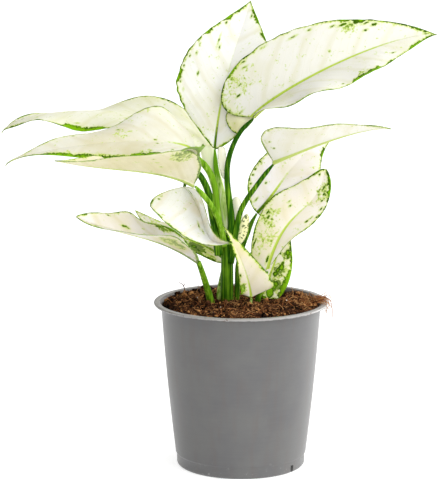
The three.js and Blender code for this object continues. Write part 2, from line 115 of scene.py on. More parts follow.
SOIL_LEVEL = 114
SOIL_HOLLOW = {"centre": (32, 38), "radius": 26, "depth": 4.5}
SOIL_EDGE_DROP = 3
SOIL_FLOOR = 11
SOIL_RINGS = 95
SOIL_SPOKES = 300
SOIL_TONES = ((10, 6, 4), (72, 43, 26), (190, 136, 84))
# painted shade in the low places of the soil's relief
SOIL_RECESS_SHADE_TONE = (8, 5, 3)
SOIL_CRUMBS = {"count": 1700, "sizes": (0.5, 0.8, 1.2, 2.0), "shares": (0.45, 0.35, 0.16, 0.04)}
CRUMB_GRID = (5, 7)
PERLITE = {"places": ((31.5, 2), (-14, -20), (8, 38), (-30, 12)), "size": 0.6}
PERLITE_TONE = (236, 232, 222)
CLUMP = {"centre": (38, 25, 111.5), "half_sizes": (8.5, 6.5, 4.5), "grid": (40, 64), "crumbs": 110}

# Strands of coir: how many, their length and radius, how much they droop, how steeply
# they set out (rise), how far over the soil they start (lift), and their tone, which is 0
# for dark brown and 1 for straw. A pair is the range that a strand's own value lies in.
STRAND_RINGS = 9
STRAND_SIDES = 5
TWIG_SIDES = 6
FIBRE_TONES = ((58, 33, 18), (148, 92, 52), (190, 142, 92))
SOIL_FIBRES = {
    "count": 1150,
    "length": (3, 9),
    "radius": (0.1, 0.3),
    "droop": 0.09,
    "rise": (0, 0.35),
    "lift": (-0.2, 0.9),
    "tone": (-0.1, 1.1),
}
COIR_PATCH = {
    "centre": (46, 0),
    "spread": (5, 9),
    "count": 110,
    "length": (4, 9),
    "radius": (0.14, 0.3),
    "droop": 0.12,
    "rise": (0.1, 0.6),
    "lift": (0, 1.5),
    "tone": (0.5, 1.3),
}
CLUMP_STRANDS = {
    "count": 90,
    "length": (3, 8),
    "radius": (0.1, 0.25),
    "droop": 0.12,
    "tone": (-0.2, 0.9),
}
LOOSE_TWIGS = (
    (((-39, 36, 114), (-40, 38, 117.5), (-41.5, 39, 119), (-43.5, 40, 119.8)), 0.4, 0.1),
    (((-40, 38, 117.5), (-39.5, 38.5, 119), (-40.5, 39, 120)), 0.3, 0.1),
    (((36.5, 16, 113), (36.5, 15.5, 117), (35.8, 15, 120), (35, 15, 122.5)), 0.25, 1.1),
)
TUFT = {
    "root": (52, -3, 116.6),
    "spread": (2.5, 5, 0.5),
    "count": 46,
    "length": (4, 13),
    "radius": (0.14, 0.3),
    "droop": 0.16,
    "tone": (0.1, 1.2),
    "ends": (
        (((52, -4, 116.5), (57, -6, 119), (61, -8, 117), (62.5, -9, 111), (62.8, -9, 105)), 0.3, 0.6),
        (((53, -2, 116.8), (58, -4, 118.8), (60.5, -5, 115), (59.5, -6, 110.5)), 0.25, 0.4),
        (((54, 0, 117), (58.5, 0, 119), (61, -1, 119), (62.5, -3, 116)), 0.25, 1),
        (((53, 3, 117), (58, 5, 119.3), (60.5, 6, 121)), 0.25, 0.8),
        (((55, -8, 116.5), (57.5, -11, 118.6), (58.5, -13, 114), (58, -14, 109)), 0.28, 0.7),
    ),
}

# ------------------------------------------------------------------ leaves

CELL = 0.9  # spacing of the mesh lines on a blade
LEAST_ROWS = 24
LEAST_HALF_COLUMNS = 8
COLUMN_CROWDING = 1.25  # over 1, the lines lie closer together near the midrib
BLADE_SPAN = (0.004, 0.996)
BLADE_HALF_THICKNESS = 0.2
LOBE_GAIN = 2.7
LOBE_FADE = 5
RIB_RADIUS = 1.2
RIB_LEAST_RADIUS = 0.25
RIB_TAPER = 1.6
VEIN_SPACING = 6.5
VEIN_SLANT = 0.62
VEIN_BEND = 1.15
QUILT_HEIGHT = 0.045
DASH_EASE = 0.012  # the share of a leaf over which a dash sets in
FAR_FROM_SPOTS = -9  # how deep inside a spot a point counts that is far from all
LEAF_SEED = 100
SCALE_SEED = 400
SEED_STEP = 20  # more than the seeds that one blade uses

# midrib, faces, half_widths, folds, curls, fullness, lobes, ripples and stalk say the
# same as in the solid model: a cubic curve from stalk to tip; the azimuth and elevation
# that the upper face looks at, at both ends; and for the left and right halves the
# width, the fold at the midrib, the curl, how far it reaches back past the stalk, and
# the amplitude, number and phase of the waves of its margin.
LEAVES = {
    "crown_leaf": {
        "midrib": ((-18, 8, 219), (-14, 19, 263), (-4, 33, 284), (7, 46, 318)),
        "faces": ((-21, 8), (1, 19)),
        "half_widths": (34, 35),
        "folds": (12, 21),
        "curls": (-15, -11),
        "fullness": (0.75, 1.15),
        "lobes": (-7, 1),
        "ripples": ((1.5, 2.5, -130), (1, 2.5, 60)),
        "stalk": ((-18, 8.2, 219.4), (-17, 7, 206), (-14, 5, 191), (-11, 3, 177), (-9.5, 2, 163)),
        "stalk_radii": (1.3, 3.4),
    },
    "upper_right_leaf": {
        "midrib": ((8, -4, 243), (26, -5, 263), (102, 6, 301), (134, 15, 297)),
        "faces": ((-26, 50), (21, 5)),
        "half_widths": (37, 41),
        "folds": (20, 51),
        "curls": (-5, -13),
        "fullness": (0.55, 1.4),
        "lobes": (13, 1),
        "ripples": ((0.5, 2.5, 160), (3.5, 4, 135)),
        "stalk": (
            (8, -4, 242), (1, -4, 235), (-5, -4, 225), (-9, -4, 212), (-9.5, -3, 199), (-8, -3, 185),
            (-6.5, -2, 170), (-7.5, -0.5, 157),
        ),
        "stalk_radii": (1.3, 2.7),
    },
    "upper_left_back_leaf": {
        "midrib": ((-23, 16, 220), (-37, 40, 249), (-160, 50, 247), (-168, 52, 224)),
        "faces": ((0, 56), (0, 83)),
        "half_widths": (27, 29),
        "folds": (5, -27),
        "curls": (-16, 19),
        "fullness": (0.6, 1.2),
        "lobes": (0, 1),
        "ripples": ((4.5, 3, 65), (7.5, 2, -105)),
        "stalk": (
            (-23.5, 16.5, 220), (-21.5, 14.5, 211), (-17, 12.5, 196), (-13.5, 11, 181), (-10.5, 9, 162),
            (-10, 6, 148),
        ),
        "stalk_radii": (5, 3.2),
    },
    "upper_left_front_leaf": {
        "midrib": ((-30, -4, 216), (-30, -18, 240), (-159, -27, 224), (-158, -28, 213)),
        "faces": ((-9, 61), (-5, 89)),
        "half_widths": (26, 33),
        "folds": (6, 18),
        "curls": (-20, -16),
        "fullness": (0.5, 1.95),
        "lobes": (-14, -3),
        "ripples": ((6.5, 1.5, 115), (5.5, 2.5, -100)),
        "stalk": (
            (-29.5, -5, 216), (-25.5, -4, 211), (-21, -2, 204), (-18, -1.5, 195), (-16.5, -1.5, 182),
            (-14.5, -1, 168), (-12, 0, 156),
        ),
        "stalk_radii": (2.2, 2.4),
    },
    "left_folded_leaf": {
        "midrib": ((-32, -18, 198), (-55, -42, 215.5), (-84, -47, 211), (-124, -51, 220.5)),
        "faces": ((-1, 80), (1, 70)),
        "half_widths": (32.5, 28),
        "folds": (53, 8),
        "curls": (-13, -13),
        "fullness": (0.45, 1.15),
        "lobes": (-7, -12),
        "ripples": ((1, 2.5, -105), (6, 1.5, 90)),
        "stalk": (
            (-31, -19, 198), (-26, -17, 192), (-21, -14, 185), (-16.5, -10.5, 176), (-13, -6, 164),
            (-11.5, -3, 154),
        ),
        "stalk_radii": (1.7, 2.2),
    },
    "front_hanging_leaf": {
        "midrib": ((-39, -19, 198), (-19, -33, 181), (-31, -57, 161), (-6, -77, 170)),
        "faces": ((-18, 29), (-4, 51)),
        "half_widths": (21, 33),
        "folds": (76, 33),
        "curls": (0, -1),
        "fullness": (0.35, 1.05),
        "lobes": (-6, 4),
        "ripples": ((1, 2.5, 140), (0.5, 2.5, -155)),
        "stalk": (
            (-38.5, -19, 197.5), (-36.5, -15, 204), (-33.5, -13, 208), (-29.5, -12, 206),
            (-25.5, -10, 200), (-22, -8, 191), (-20, -6, 179), (-17, -4, 162), (-15, -3, 148),
        ),
        "stalk_radii": (1.7, 3.2),
    },
    "lower_left_leaf": {
        "midrib": ((-29, -20, 146), (-59, -26, 168), (-76, -49, 167), (-110, -51, 183)),
        "faces": ((-2, 75), (-13, 50)),
        "half_widths": (25, 20),
        "folds": (41, 20),
        "curls": (-7, -13),
        "fullness": (0.5, 0.75),
        "lobes": (-2, 0),
        "ripples": ((1, 2.5, -20), (2, 2.5, 170)),
        "stalk": (
            (-29, -19, 146), (-26.5, -15, 138), (-24, -11, 129), (-21.5, -6, 119), (-19.5, -4, 108),
        ),
        "stalk_radii": (1.7, 2.8),
    },
    "left_back_leaf": {
        "midrib": ((-11, 17, 140), (-28, 23, 157), (-53, 33, 150), (-74, 38, 172)),
        "faces": ((-15, 53), (-14, 56)),
        "half_widths": (11, 11),
        "folds": (15, 6),
        "curls": (-7, -12),
        "fullness": (0.55, 0.9),
        "lobes": (2, 0),
        "ripples": ((0.5, 2.5, -95), (1.5, 2.5, 145)),
        "stalk": ((-11, 17, 140), (-13, 13, 131), (-15, 8, 121), (-15.5, 4, 107)),
        "stalk_radii": (1.2, 1.6),
    },
    "right_folded_leaf": {
        "midrib": ((22, -5, 212), (34, -19, 219), (78, -29, 241), (100, -33, 239)),
        "faces": ((1, 84), (0, 69)),
        "half_widths": (27, 29),
        "folds": (12, 59),
        "curls": (-15, -12),
        "fullness": (0.35, 1.3),
        "lobes": (0, -3),
        "ripples": ((0, 2.5, -135), (1.5, 2.5, -125)),
        "stalk": (
            (22, -5, 211), (16, -6, 204), (9.5, -6, 195), (4, -5, 187), (-0.5, -4, 178), (-3, -3, 167),
            (-5, -2.5, 154), (-7, -1, 142),
        ),
        "stalk_radii": (1.4, 2.3),
    },
    "right_back_leaf": {
        "midrib": ((11, 13, 174), (30, 17, 193), (37, 34, 215), (62, 43, 219)),
        "faces": ((-10, 25), (0, 30)),
        "half_widths": (22, 24),
        "folds": (10, 10),
        "curls": (-12, -12),
        "fullness": (0.55, 1),
        "lobes": (0, 0),
        "ripples": ((0.5, 2.5, 50), (0, 2.5, 0)),
        "stalk": (
            (11, 12.5, 174), (7.5, 11, 168), (5, 10, 161), (1.5, 8, 152), (-2, 6, 139), (-2.5, 5, 125),
            (-3, 4, 107),
        ),
        "stalk_radii": (1.4, 1.9),
    },
    "right_middle_leaf": {
        "midrib": ((18, -7, 138), (31, -3, 187), (52, 9, 170), (58, 15, 205)),
        "faces": ((-5, 25), (1, 31)),
        "half_widths": (22, 15),
        "folds": (-2, 26),
        "curls": (-17, -3),
        "fullness": (0.45, 0.6),
        "lobes": (6, -11),
        "ripples": ((0.5, 2.5, 25), (0, 2.5, 0)),
        "stalk": ((18, -7, 137), (16, -6, 130), (13, -5, 122), (10, -4, 108)),
        "stalk_radii": (1.5, 1.9),
    },
    "lower_right_leaf": {
        "midrib": ((14, 9, 117), (22, 14, 132), (26, 19, 147), (33, 28, 165)),
        "faces": ((10, 10), (10, 25)),
        "half_widths": (20, 14),
        "folds": (10, 15),
        "curls": (-15, -15),
        "fullness": (0.5, 1.05),
        "lobes": (0, 4),
        "ripples": ((0, 2.5, 0), (0.5, 2.5, -100)),
        "stalk": ((14, 8.5, 117.5), (13, 4, 118), (11, 0, 115), (10.5, -2, 106)),
        "stalk_radii": (1.6, 1.9),
    },
    "front_low_leaf": {
        "midrib": ((7, -14, 120), (6, -13, 121), (8, -20, 137), (-13, -34, 175)),
        "faces": ((16, 5), (15, 15)),
        "half_widths": (8, 17),
        "folds": (15, 6),
        "curls": (-10, -9),
        "fullness": (0.4, 1.15),
        "lobes": (-3, -2),
        "ripples": ((1.5, 2.5, -50), (0.5, 2.5, -130)),
        "stalk": ((7, -13, 119.5), (6.5, -11.5, 114), (6, -10, 107)),
        "stalk_radii": (1.3, 1.5),
    },
}

# The green marks of each leaf. Places are shares: t of the way from stalk to tip, and u
# of the way from the midrib to the left margin, or to the right one where it is
# negative. "left_dashes" and "right_dashes" are thicker stretches of the green margin
# (from t, to t, width); a side without any gets seeded ones. "spots" are
# (t, u, half length, half width); "mottled" and "warm_and_shaded" areas are (t, u, radius,
# amount). The latter turn the cream to its warmer tone, partly the leaf's own beige and
# partly painted shade. "warmth_and_shade" is how far the whole cream turns to that tone,
# "rib" how green the midrib is at each t, "rib_radius" its radius by the stalk, and
# "rib_width" how much of that shows green. Widths, lengths and radii are in millimetres.
MARKS = {
    "crown_leaf": {
        "left_dashes": (
            (0, 0.08, 1.2), (0.16, 0.29, 1.1), (0.33, 0.43, 2.4), (0.47, 0.58, 1.2), (0.63, 0.67, 1),
            (0.69, 0.74, 2.2), (0.76, 0.8, 1.3), (0.82, 0.87, 2.2), (0.88, 0.96, 1.4),
        ),
        "right_dashes": (
            (0, 0.06, 1), (0.2, 0.32, 1.3), (0.5, 0.6, 1.4), (0.75, 0.8, 1.9), (0.85, 0.94, 1.7),
        ),
        "spots": (
            (0.64, 0.96, 1, 0.5), (0.61, 0.86, 0.9, 0.5), (0.55, 0.79, 1, 0.6), (0.52, 0.9, 0.8, 0.5),
            (0.45, 0.93, 0.8, 0.5), (0.42, 0.6, 1.4, 0.6), (0.34, 0.9, 0.9, 0.6), (0.29, 0.85, 0.8, 0.5),
            (0.81, 0.74, 1, 0.6), (0.67, 0.5, 2.4, 0.4), (0.63, 0.39, 1.2, 0.4), (0.9, -0.5, 1.2, 0.6),
        ),
        "warm_and_shaded": ((0.21, 0.16, 24, 0.5),),
        "warmth_and_shade": -0.1,
        "rib_radius": 0.9,
        "rib": ((0, 1.1), (0.08, 0.9), (0.25, 0.45), (0.5, 0.15), (1, 0)),
    },
    "upper_right_leaf": {
        "left_dashes": (
            (0.02, 0.13, 0.7), (0.15, 0.2, 1.4), (0.22, 0.28, 0.9), (0.5, 0.53, 1.1), (0.57, 0.605, 1.7),
            (0.615, 0.66, 2.3), (0.67, 0.69, 1.1), (0.76, 0.93, 1.3),
        ),
        "right_dashes": (
            (0, 0.06, 1.2), (0.16, 0.32, 1.3), (0.36, 0.41, 1.1), (0.5, 0.63, 2.8), (0.66, 0.7, 1.6),
            (0.8, 0.88, 1.8), (0.88, 0.96, 1.1),
        ),
        "spots": (
            (0.22, 0.94, 0.9, 0.6), (0.21, 0.85, 1.1, 0.6), (0.11, 0.61, 1, 0.6), (0.02, 0.66, 1.8, 0.5),
            (0.15, 0.7, 0.9, 0.5), (0.3, 0.93, 1.1, 0.4), (0.4, 0.86, 1.8, 0.5), (0.46, 0.9, 1.1, 0.5),
            (0.54, 0.85, 1.4, 0.5), (0.58, 0.86, 2.8, 0.9), (0.63, 0.92, 3, 1.1), (0.66, 0.88, 2, 0.5),
            (0.69, 0.81, 1.9, 0.8), (0.65, 0.64, 1.2, 0.6), (0.49, 0.32, 0.6, 0.8),
            (0.46, -0.89, 0.8, 0.6), (0.72, -0.66, 1.2, 0.6), (0.55, -0.94, 2, 0.9),
            (0.62, -0.94, 2, 0.7), (0.92, 0.29, 1.3, 0.4),
        ),
        "mottled": ((0.13, 0.8, 14, 0.6), (0.6, 0.88, 11, 0.75), (0.56, -0.9, 7, 0.8)),
        "warm_and_shaded": ((0.18, 0.62, 20, 0.2), (0.2, -0.4, 22, 0.45), (0.8, -0.1, 16, 0.3)),
        "warmth_and_shade": -0.05,
        "rib": ((0, 0.7), (0.4, 0.62), (0.65, 0.45), (0.85, 0.1), (1, 0)),
        "rib_width": 1.3,
        "rib_radius": 1.4,
    },
    "upper_left_back_leaf": {
        "left_dashes": (
            (0.12, 0.2, 1), (0.37, 0.44, 1.1), (0.46, 0.62, 3.2), (0.64, 0.66, 1), (0.71, 0.74, 1.6),
            (0.79, 0.9, 1),
        ),
        "right_dashes": (
            (0.1, 0.18, 1.7), (0.25, 0.33, 1), (0.42, 0.45, 1.5), (0.78, 0.86, 1.5), (0.87, 0.96, 1),
        ),
        "spots": (
            (0.57, 0.72, 1.2, 0.4), (0.39, 0.35, 1.6, 0.6), (0.38, 0.25, 1.4, 0.6), (0.4, 0.62, 1.2, 0.4),
            (0.81, 0.09, 0.8, 0.5),
        ),
        "warmth_and_shade": 0.25,
        "rib": ((0, 0), (1, 0)),
        "rib_radius": 0.3,
    },
    "upper_left_front_leaf": {
        "left_dashes": (
            (0, 0.1, 3), (0.12, 0.24, 5), (0.25, 0.33, 3.6), (0.33, 0.4, 4), (0.4, 0.6, 2.6),
            (0.6, 0.72, 2.4), (0.74, 0.82, 1.4),
        ),
        "right_dashes": ((0.02, 0.05, 1.6), (0.06, 0.12, 1.2), (0.75, 0.8, 1), (0.84, 0.95, 1)),
        "spots": (
            (0.43, -0.59, 1.2, 0.6), (0.39, -0.38, 0.7, 0.4), (0.3, -0.05, 0.8, 0.6),
            (0.29, 0.15, 0.9, 0.5), (0.2, 0.5, 1.1, 0.7), (0.59, -0.84, 0.8, 0.5), (0.69, 0.81, 0.8, 0.4),
        ),
        "mottled": ((0.42, -0.36, 9, 0.6), (0.33, 0.9, 10, 0.9), (0.18, 0.8, 10, 0.9)),
        "warm_and_shaded": ((0.48, 0.24, 34, 0.5), (0.36, 0.42, 22, 0.3)),
        "rib": ((0, 1), (0.1, 0.8), (0.2, 0.4), (0.28, 0), (1, 0)),
        "rib_radius": 1.5,
    },
    "left_folded_leaf": {
        "left_dashes": ((0, 0.14, 2.2), (0.2, 0.3, 1.4), (0.77, 0.86, 1.7), (0.88, 0.95, 1.1)),
        "right_dashes": ((0, 0.1, 2), (0.3, 0.4, 0.8), (0.94, 1, 0.7)),
        "spots": (
            (0.42, 0.62, 0.9, 0.5), (0.38, 0.44, 0.7, 0.4), (0.33, 0.27, 0.8, 0.4), (0.32, 0.8, 0.8, 0.4),
            (0.26, 0.71, 1.3, 0.6), (0.23, 0.78, 1.2, 0.6), (0.24, 0.57, 0.8, 0.5), (0.25, 0.94, 2, 0.8),
        ),
        "mottled": ((0.25, 0.79, 11, 1.15),),
        "warm_and_shaded": ((0.65, 0.5, 32, 0.5), (0.32, 0.4, 20, 0.5)),
        "rib": ((0, 0.75), (0.3, 0.75), (0.6, 0.7), (0.85, 0.3), (1, 0)),
        "rib_radius": 1.1,
    },
    "front_hanging_leaf": {
        "left_dashes": ((0.15, 0.25, 1), (0.5, 0.6, 0.8)),
        "right_dashes": (
            (0.08, 0.15, 1.5), (0.36, 0.42, 1), (0.48, 0.64, 1.3), (0.68, 0.86, 1), (0.94, 1, 2),
        ),
        "spots": (
            (0.09, -0.81, 1.2, 0.8), (0.08, 0.2, 2.4, 0.6), (0.18, 0.3, 0.8, 0.5), (0.34, 0.69, 0.7, 0.4),
            (0.48, -0.15, 2, 0.3), (0.57, -0.11, 1.4, 0.3),
        ),
        "warm_and_shaded": ((0.26, 0.07, 12, 0.7), (0.6, 0.42, 12, 0.4), (0.88, 0.82, 10, 0.9)),
        "warmth_and_shade": -0.1,
        "rib": ((0, 0.3), (0.5, 0.1), (1, 0)),
        "rib_radius": 0.3,
    },
    "lower_left_leaf": {
        "left_dashes": (
            (0, 0.1, 2.6), (0.1, 0.41, 1.4), (0.41, 0.7, 1.6), (0.72, 0.8, 1.6), (0.83, 0.89, 1.7),
            (0.9, 0.98, 1.1),
        ),
        "right_dashes": (
            (0, 0.12, 2.4), (0.13, 0.28, 2.3), (0.31, 0.5, 1.7), (0.54, 0.56, 1), (0.66, 0.7, 1),
            (0.93, 0.97, 1),
        ),
        "spots": (
            (0.63, -0.3, 2.4, 0.8), (0.6, -0.24, 1, 0.5), (0.77, -0.81, 1.2, 0.5), (0.88, 0.64, 1.6, 0.5),
            (0.3, -0.86, 2, 1.4), (0.21, -0.88, 2.6, 1), (0.43, 0.94, 3, 0.8), (0.29, 0.64, 1.6, 0.9),
            (0.24, 0.41, 1.2, 0.6), (0.2, 0.59, 3, 2), (0.24, 0.94, 2.2, 1.6),
        ),
        "mottled": ((0.27, -0.89, 9, 1), (0.31, 0.47, 12, 1.1), (0.2, 0.51, 9, 1.2)),
        "warm_and_shaded": ((0.68, -0.43, 24, 0.2), (0.33, 0.57, 16, 0.8), (0.2, 0.4, 14, 1)),
        "warmth_and_shade": 0.1,
        "rib": ((0, 1), (0.3, 0.9), (0.7, 0.4), (1, 0)),
    },
    "left_back_leaf": {
        "left_dashes": ((0.08, 0.25, 1.6), (0.28, 0.34, 1.2)),
        "right_dashes": ((0.2, 0.35, 1.4), (0.5, 0.7, 1)),
        "spots": (
            (0.34, 0.45, 2.6, 1.6), (0.28, 0.64, 1.6, 1), (0.29, 0.94, 2, 0.8), (0.22, 0.54, 2.2, 0.7),
        ),
        "mottled": ((0.32, 0.46, 12, 1.5), (0.21, 0.51, 10, 0.9), (0.84, -0.84, 12, 0.6)),
        "warm_and_shaded": ((0.15, 0.5, 12, 0.7),),
    },
    "right_folded_leaf": {
        "left_dashes": ((0.15, 0.3, 1.3), (0.59, 0.64, 1), (0.75, 0.85, 1.1)),
        "right_dashes": ((0, 0.06, 1.8), (0.09, 0.13, 1), (0.27, 0.62, 0.8), (0.8, 0.9, 1)),
        "spots": ((0.2, -0.95, 0.9, 0.9), (0.13, -0.65, 0.9, 0.7), (0.12, -0.41, 0.9, 0.8)),
        "warm_and_shaded": ((0.41, -0.28, 30, 0.3),),
        "warmth_and_shade": 0,
        "rib": ((0, 0.65), (0.15, 0.55), (0.4, 0.5), (0.7, 0.4), (1, 0)),
        "rib_width": 1.1,
    },
    "right_back_leaf": {
        "left_dashes": ((0, 0.15, 1), (0.19, 0.23, 1.1), (0.32, 0.44, 1), (0.6, 0.7, 1.2)),
        "right_dashes": ((0.15, 0.25, 1), (0.5, 0.6, 1), (0.71, 0.82, 1.1), (0.83, 0.93, 2.1)),
        "spots": (
            (0.45, 0.94, 0.9, 0.6), (0.41, 0.94, 1, 0.7), (0.33, 0.93, 1.1, 0.8), (0.27, 0.9, 1, 0.7),
            (0.2, 0.94, 0.7, 0.5), (0.18, 0.88, 1, 0.7), (0.27, 0.39, 0.9, 0.6), (0.4, 0.86, 0.6, 0.4),
            (0.09, 0.46, 1.4, 0.5),
        ),
        "warm_and_shaded": ((0.57, 0.2, 26, 0.3),),
        "warmth_and_shade": 0.1,
        "rib": ((0, 1.1), (0.12, 0.9), (0.3, 0.45), (0.45, 0.2), (0.55, 0)),
    },
    "right_middle_leaf": {
        "left_dashes": ((0.15, 0.25, 1), (0.39, 0.5, 1), (0.6, 0.65, 1), (0.87, 1, 1.2)),
        "right_dashes": (
            (0.2, 0.48, 0.8), (0.55, 0.6, 1.4), (0.65, 0.7, 1.2), (0.74, 0.78, 1.6), (0.8, 0.98, 2.1),
        ),
        "spots": (
            (0.95, 0.41, 1, 0.6), (0.85, -0.34, 2, 0.6), (0.9, -0.73, 1.6, 0.8), (0.83, -0.75, 1, 0.7),
            (0.8, -0.53, 0.9, 0.7), (0.73, -0.58, 0.9, 0.6), (0.65, -0.8, 1.2, 0.6),
            (0.43, -0.66, 1.6, 0.7), (0.49, -0.69, 1.6, 0.4), (0.54, -0.92, 1.2, 0.7),
            (0.33, 0.79, 1.2, 0.8), (0.3, 0.7, 1.4, 1), (0.51, 0.5, 1, 0.5), (0.48, 0.36, 1, 0.6),
            (0.14, 0.88, 3, 0.6), (0.09, 0.6, 0.8, 0.5), (0.06, 0.17, 2.6, 0.8),
        ),
        "mottled": (
            (0.83, -0.75, 13, 0.9), (0.65, -0.2, 5, 0.7), (0.31, 0.72, 9, 0.9), (0.21, 0.47, 14, 0.5),
            (0.15, 0.38, 8, 0.6), (0.32, -0.7, 6, 0.4),
        ),
        "warm_and_shaded": ((0.32, 0.57, 20, 0.3), (0.12, 0.49, 18, 0.5)),
        "warmth_and_shade": 0.1,
        "rib": ((0, 0.6), (0.3, 0.55), (0.55, 0.35), (0.7, 0)),
    },
    "lower_right_leaf": {
        "left_dashes": ((0, 0.25, 1.5), (0.5, 0.6, 1)),
        "right_dashes": (
            (0, 0.12, 2.2), (0.15, 0.2, 2.6), (0.2, 0.36, 4), (0.36, 0.46, 3), (0.48, 0.8, 1.7),
        ),
        "spots": (
            (0.65, -0.66, 2.4, 1.6), (0.6, -0.7, 1.6, 1.2), (0.5, -0.44, 1.4, 1), (0.45, -0.43, 2.4, 1.9),
            (0.4, -0.29, 2.2, 1.4), (0.34, -0.23, 1.8, 1.8), (0.24, -0.45, 1.6, 2.4),
            (0.2, -0.45, 1.6, 1.4), (0.61, -0.18, 0.7, 0.6), (0.28, -0.03, 1.2, 0.5),
            (0.27, 0.19, 0.8, 0.5), (0.08, 0.3, 3, 4), (0.12, -0.4, 3, 3),
        ),
        "mottled": ((0.1, 0.2, 9, 1.1), (0.4, -0.41, 9, 1.2), (0.6, -0.59, 6, 1), (0.23, -0.49, 7, 1.4)),
        "rib": ((0, 0.9), (0.5, 0.6), (1, 0)),
    },
    "front_low_leaf": {
        "left_dashes": ((0.2, 0.35, 0.8), (0.7, 0.78, 0.6), (0.84, 0.95, 1.1)),
        "right_dashes": ((0.25, 0.4, 0.8), (0.48, 0.6, 1), (0.67, 0.82, 1), (0.86, 0.9, 0.9)),
        "spots": (
            (0.96, 0.68, 1.4, 0.5), (0.59, 0.76, 1.2, 0.6), (0.42, 0.94, 0.9, 0.7), (0.4, 0.9, 0.9, 0.6),
            (0.41, 0.62, 0.9, 0.7), (0.36, 0.71, 0.7, 0.6),
        ),
        "mottled": ((0.95, 0.9, 5, 0.8), (0.43, 0.89, 7, 1)),
        "warm_and_shaded": ((0.83, -0.3, 16, 0.5),),
        "warmth_and_shade": 0.25,
        "rib": ((0, 0.7), (0.4, 0.5), (0.7, 0.2), (0.85, 0)),
    },
}
PLAIN_RIB = ((0, 1), (0.6, 0.5), (1, 0.1))

# Tones of each leaf's cream and of its warmer tone, which is the leaf's own beige and also the painted
# shade of its shaded parts
LEAF_TONES = {
    "crown_leaf": ((238, 238, 232), (218, 214, 182)),
    "upper_right_leaf": ((229, 228, 219), (212, 210, 172)),
    "upper_left_back_leaf": ((234, 234, 219), (213, 213, 160)),
    "upper_left_front_leaf": ((227, 226, 213), (208, 201, 164)),
    "left_folded_leaf": ((233, 226, 207), (210, 200, 154)),
    "front_hanging_leaf": ((242, 243, 241), (228, 217, 186)),
    "lower_left_leaf": ((233, 228, 228), (208, 200, 152)),
    "left_back_leaf": ((234, 230, 226), (210, 204, 160)),
    "right_folded_leaf": ((238, 236, 234), (220, 215, 188)),
    "right_back_leaf": ((236, 231, 236), (219, 212, 186)),
    "right_middle_leaf": ((236, 230, 224), (222, 213, 174)),
    "lower_right_leaf": ((234, 230, 220), (212, 206, 164)),
    "front_low_leaf": ((232, 225, 208), (214, 205, 158)),
}

# Tones of the veins, the underside, the midrib by the stalk and further out, the darkest
# and brightest green of the marks, and the yellow greens round them
VEIN_TONE = (212, 208, 160)
UNDERSIDE_TONE = (206, 204, 168)
RIB_DARK = (78, 118, 0)
RIB_LIGHT = (186, 208, 84)
MARK_DARK = (50, 84, 0)
MARK_BRIGHT = (122, 174, 8)
MARGIN_LINE_TONES = ((98, 128, 34), (172, 196, 84))
GLOW_TONE = (222, 230, 120)
BRIM_TONE = (196, 214, 84)
HALO_TONE = (182, 206, 50)
FLECK_TONE = (196, 208, 84)

# The base of the upper right leaf, which folds down over its own stalk
FLAP_NAME = "upper_right_leaf_flap"
FLAP = {
    "midrib": ((-3, -1.8, 231.5), (-2.5, -0.3, 237), (-2, 1.2, 241), (-1, 2.7, 246)),
    "faces": ((-29, 17), (-29, 17)),
    "half_widths": (11.5, 11),
    "folds": (-8, -8),
    "curls": (-8, -8),
    "fullness": (0.6, 0.15),
}
FLAP_MARKS = {
    "left_dashes": ((0, 0.9, 0.7),),
    "right_dashes": ((0.1, 0.9, 0.5),),
    "warm_and_shaded": ((0.3, 0.2, 6, 0.6),),
    "warmth_and_shade": 0.3,
    "rib": ((0, 0), (1, 0)),
    "rib_radius": 0.1,
}
FLAP_TONES = ((236, 234, 202), (218, 214, 164))

# The dry scales on the stem. Their looks are the slot, the tones of the body and of its
# dry streaks, and how much green shows.
SCALES = {
    "papery_scale": {
        "midrib": ((-3, 3, 158), (-2.5, 4, 168), (-2.5, 4, 178), (-3.5, 3, 187)),
        "faces": ((10, 0), (10, 0)),
        "half_widths": (5, 5),
        "folds": (-15, -15),
        "curls": (-20, -20),
        "fullness": (0.3, 0.4),
    },
    "mottled_scale": {
        "midrib": ((-2, 0, 155), (1, 0, 162), (3, 0, 168), (4, -1, 176)),
        "faces": ((15, 0), (15, 0)),
        "half_widths": (4, 4),
        "folds": (-10, -10),
        "curls": (-15, -15),
        "fullness": (0.3, 0.5),
    },
    "crown_sheath": {
        "midrib": ((-11, -1, 200), (-12.5, 0, 208), (-13.3, 1, 214), (-13.5, 1, 222)),
        "faces": ((0, 0), (0, 0)),
        "half_widths": (3, 3),
        "folds": (-15, -15),
        "curls": (-10, -10),
        "fullness": (0.3, 0.15),
    },
}
SCALE_LOOKS = {
    "papery_scale": ("scale_papery", (250, 246, 222), (255, 253, 242), 0),
    "mottled_scale": ("leaf_mottled", (236, 232, 176), (248, 244, 196), 0.85),
    "crown_sheath": ("scale_papery", (250, 246, 222), (255, 253, 242), 0),
}
SCALE_GREENS = ((118, 140, 40), (58, 88, 10))

# ------------------------------------------------------------------ stalks

CURVE_STEPS = 12  # steps between two points of a stalk or twig, before they are evened out
STALK_RINGS = 60
STALK_SIDES = 20
STALK_GROOVE = 0.12
STALK_TAPER = {"length": 8, "share": 0.55}  # how the stalks thin out below the blades
BROAD_STALKS = ("upper_left_back_leaf", "lower_left_leaf")  # these run on at full width
PALE_STALKS = ("crown_leaf", "upper_left_back_leaf", "left_back_leaf", "front_low_leaf")
STALK_SOIL_TONE = (84, 58, 26)
STALK_TONES = {
    "stalk_green": ((32, 80, 2), (116, 164, 30), (184, 214, 104)),
    "stalk_pale": ((96, 148, 20), (190, 216, 122), (234, 238, 204)),
}
STEM = {
    "points": ((-9.5, 3, 104), (-9.5, 2.5, 124), (-9.5, 2, 142), (-9.5, 1.5, 160)),
    "radii": (4.6, 4),
    "lightness": (-0.1, -0.1),
}

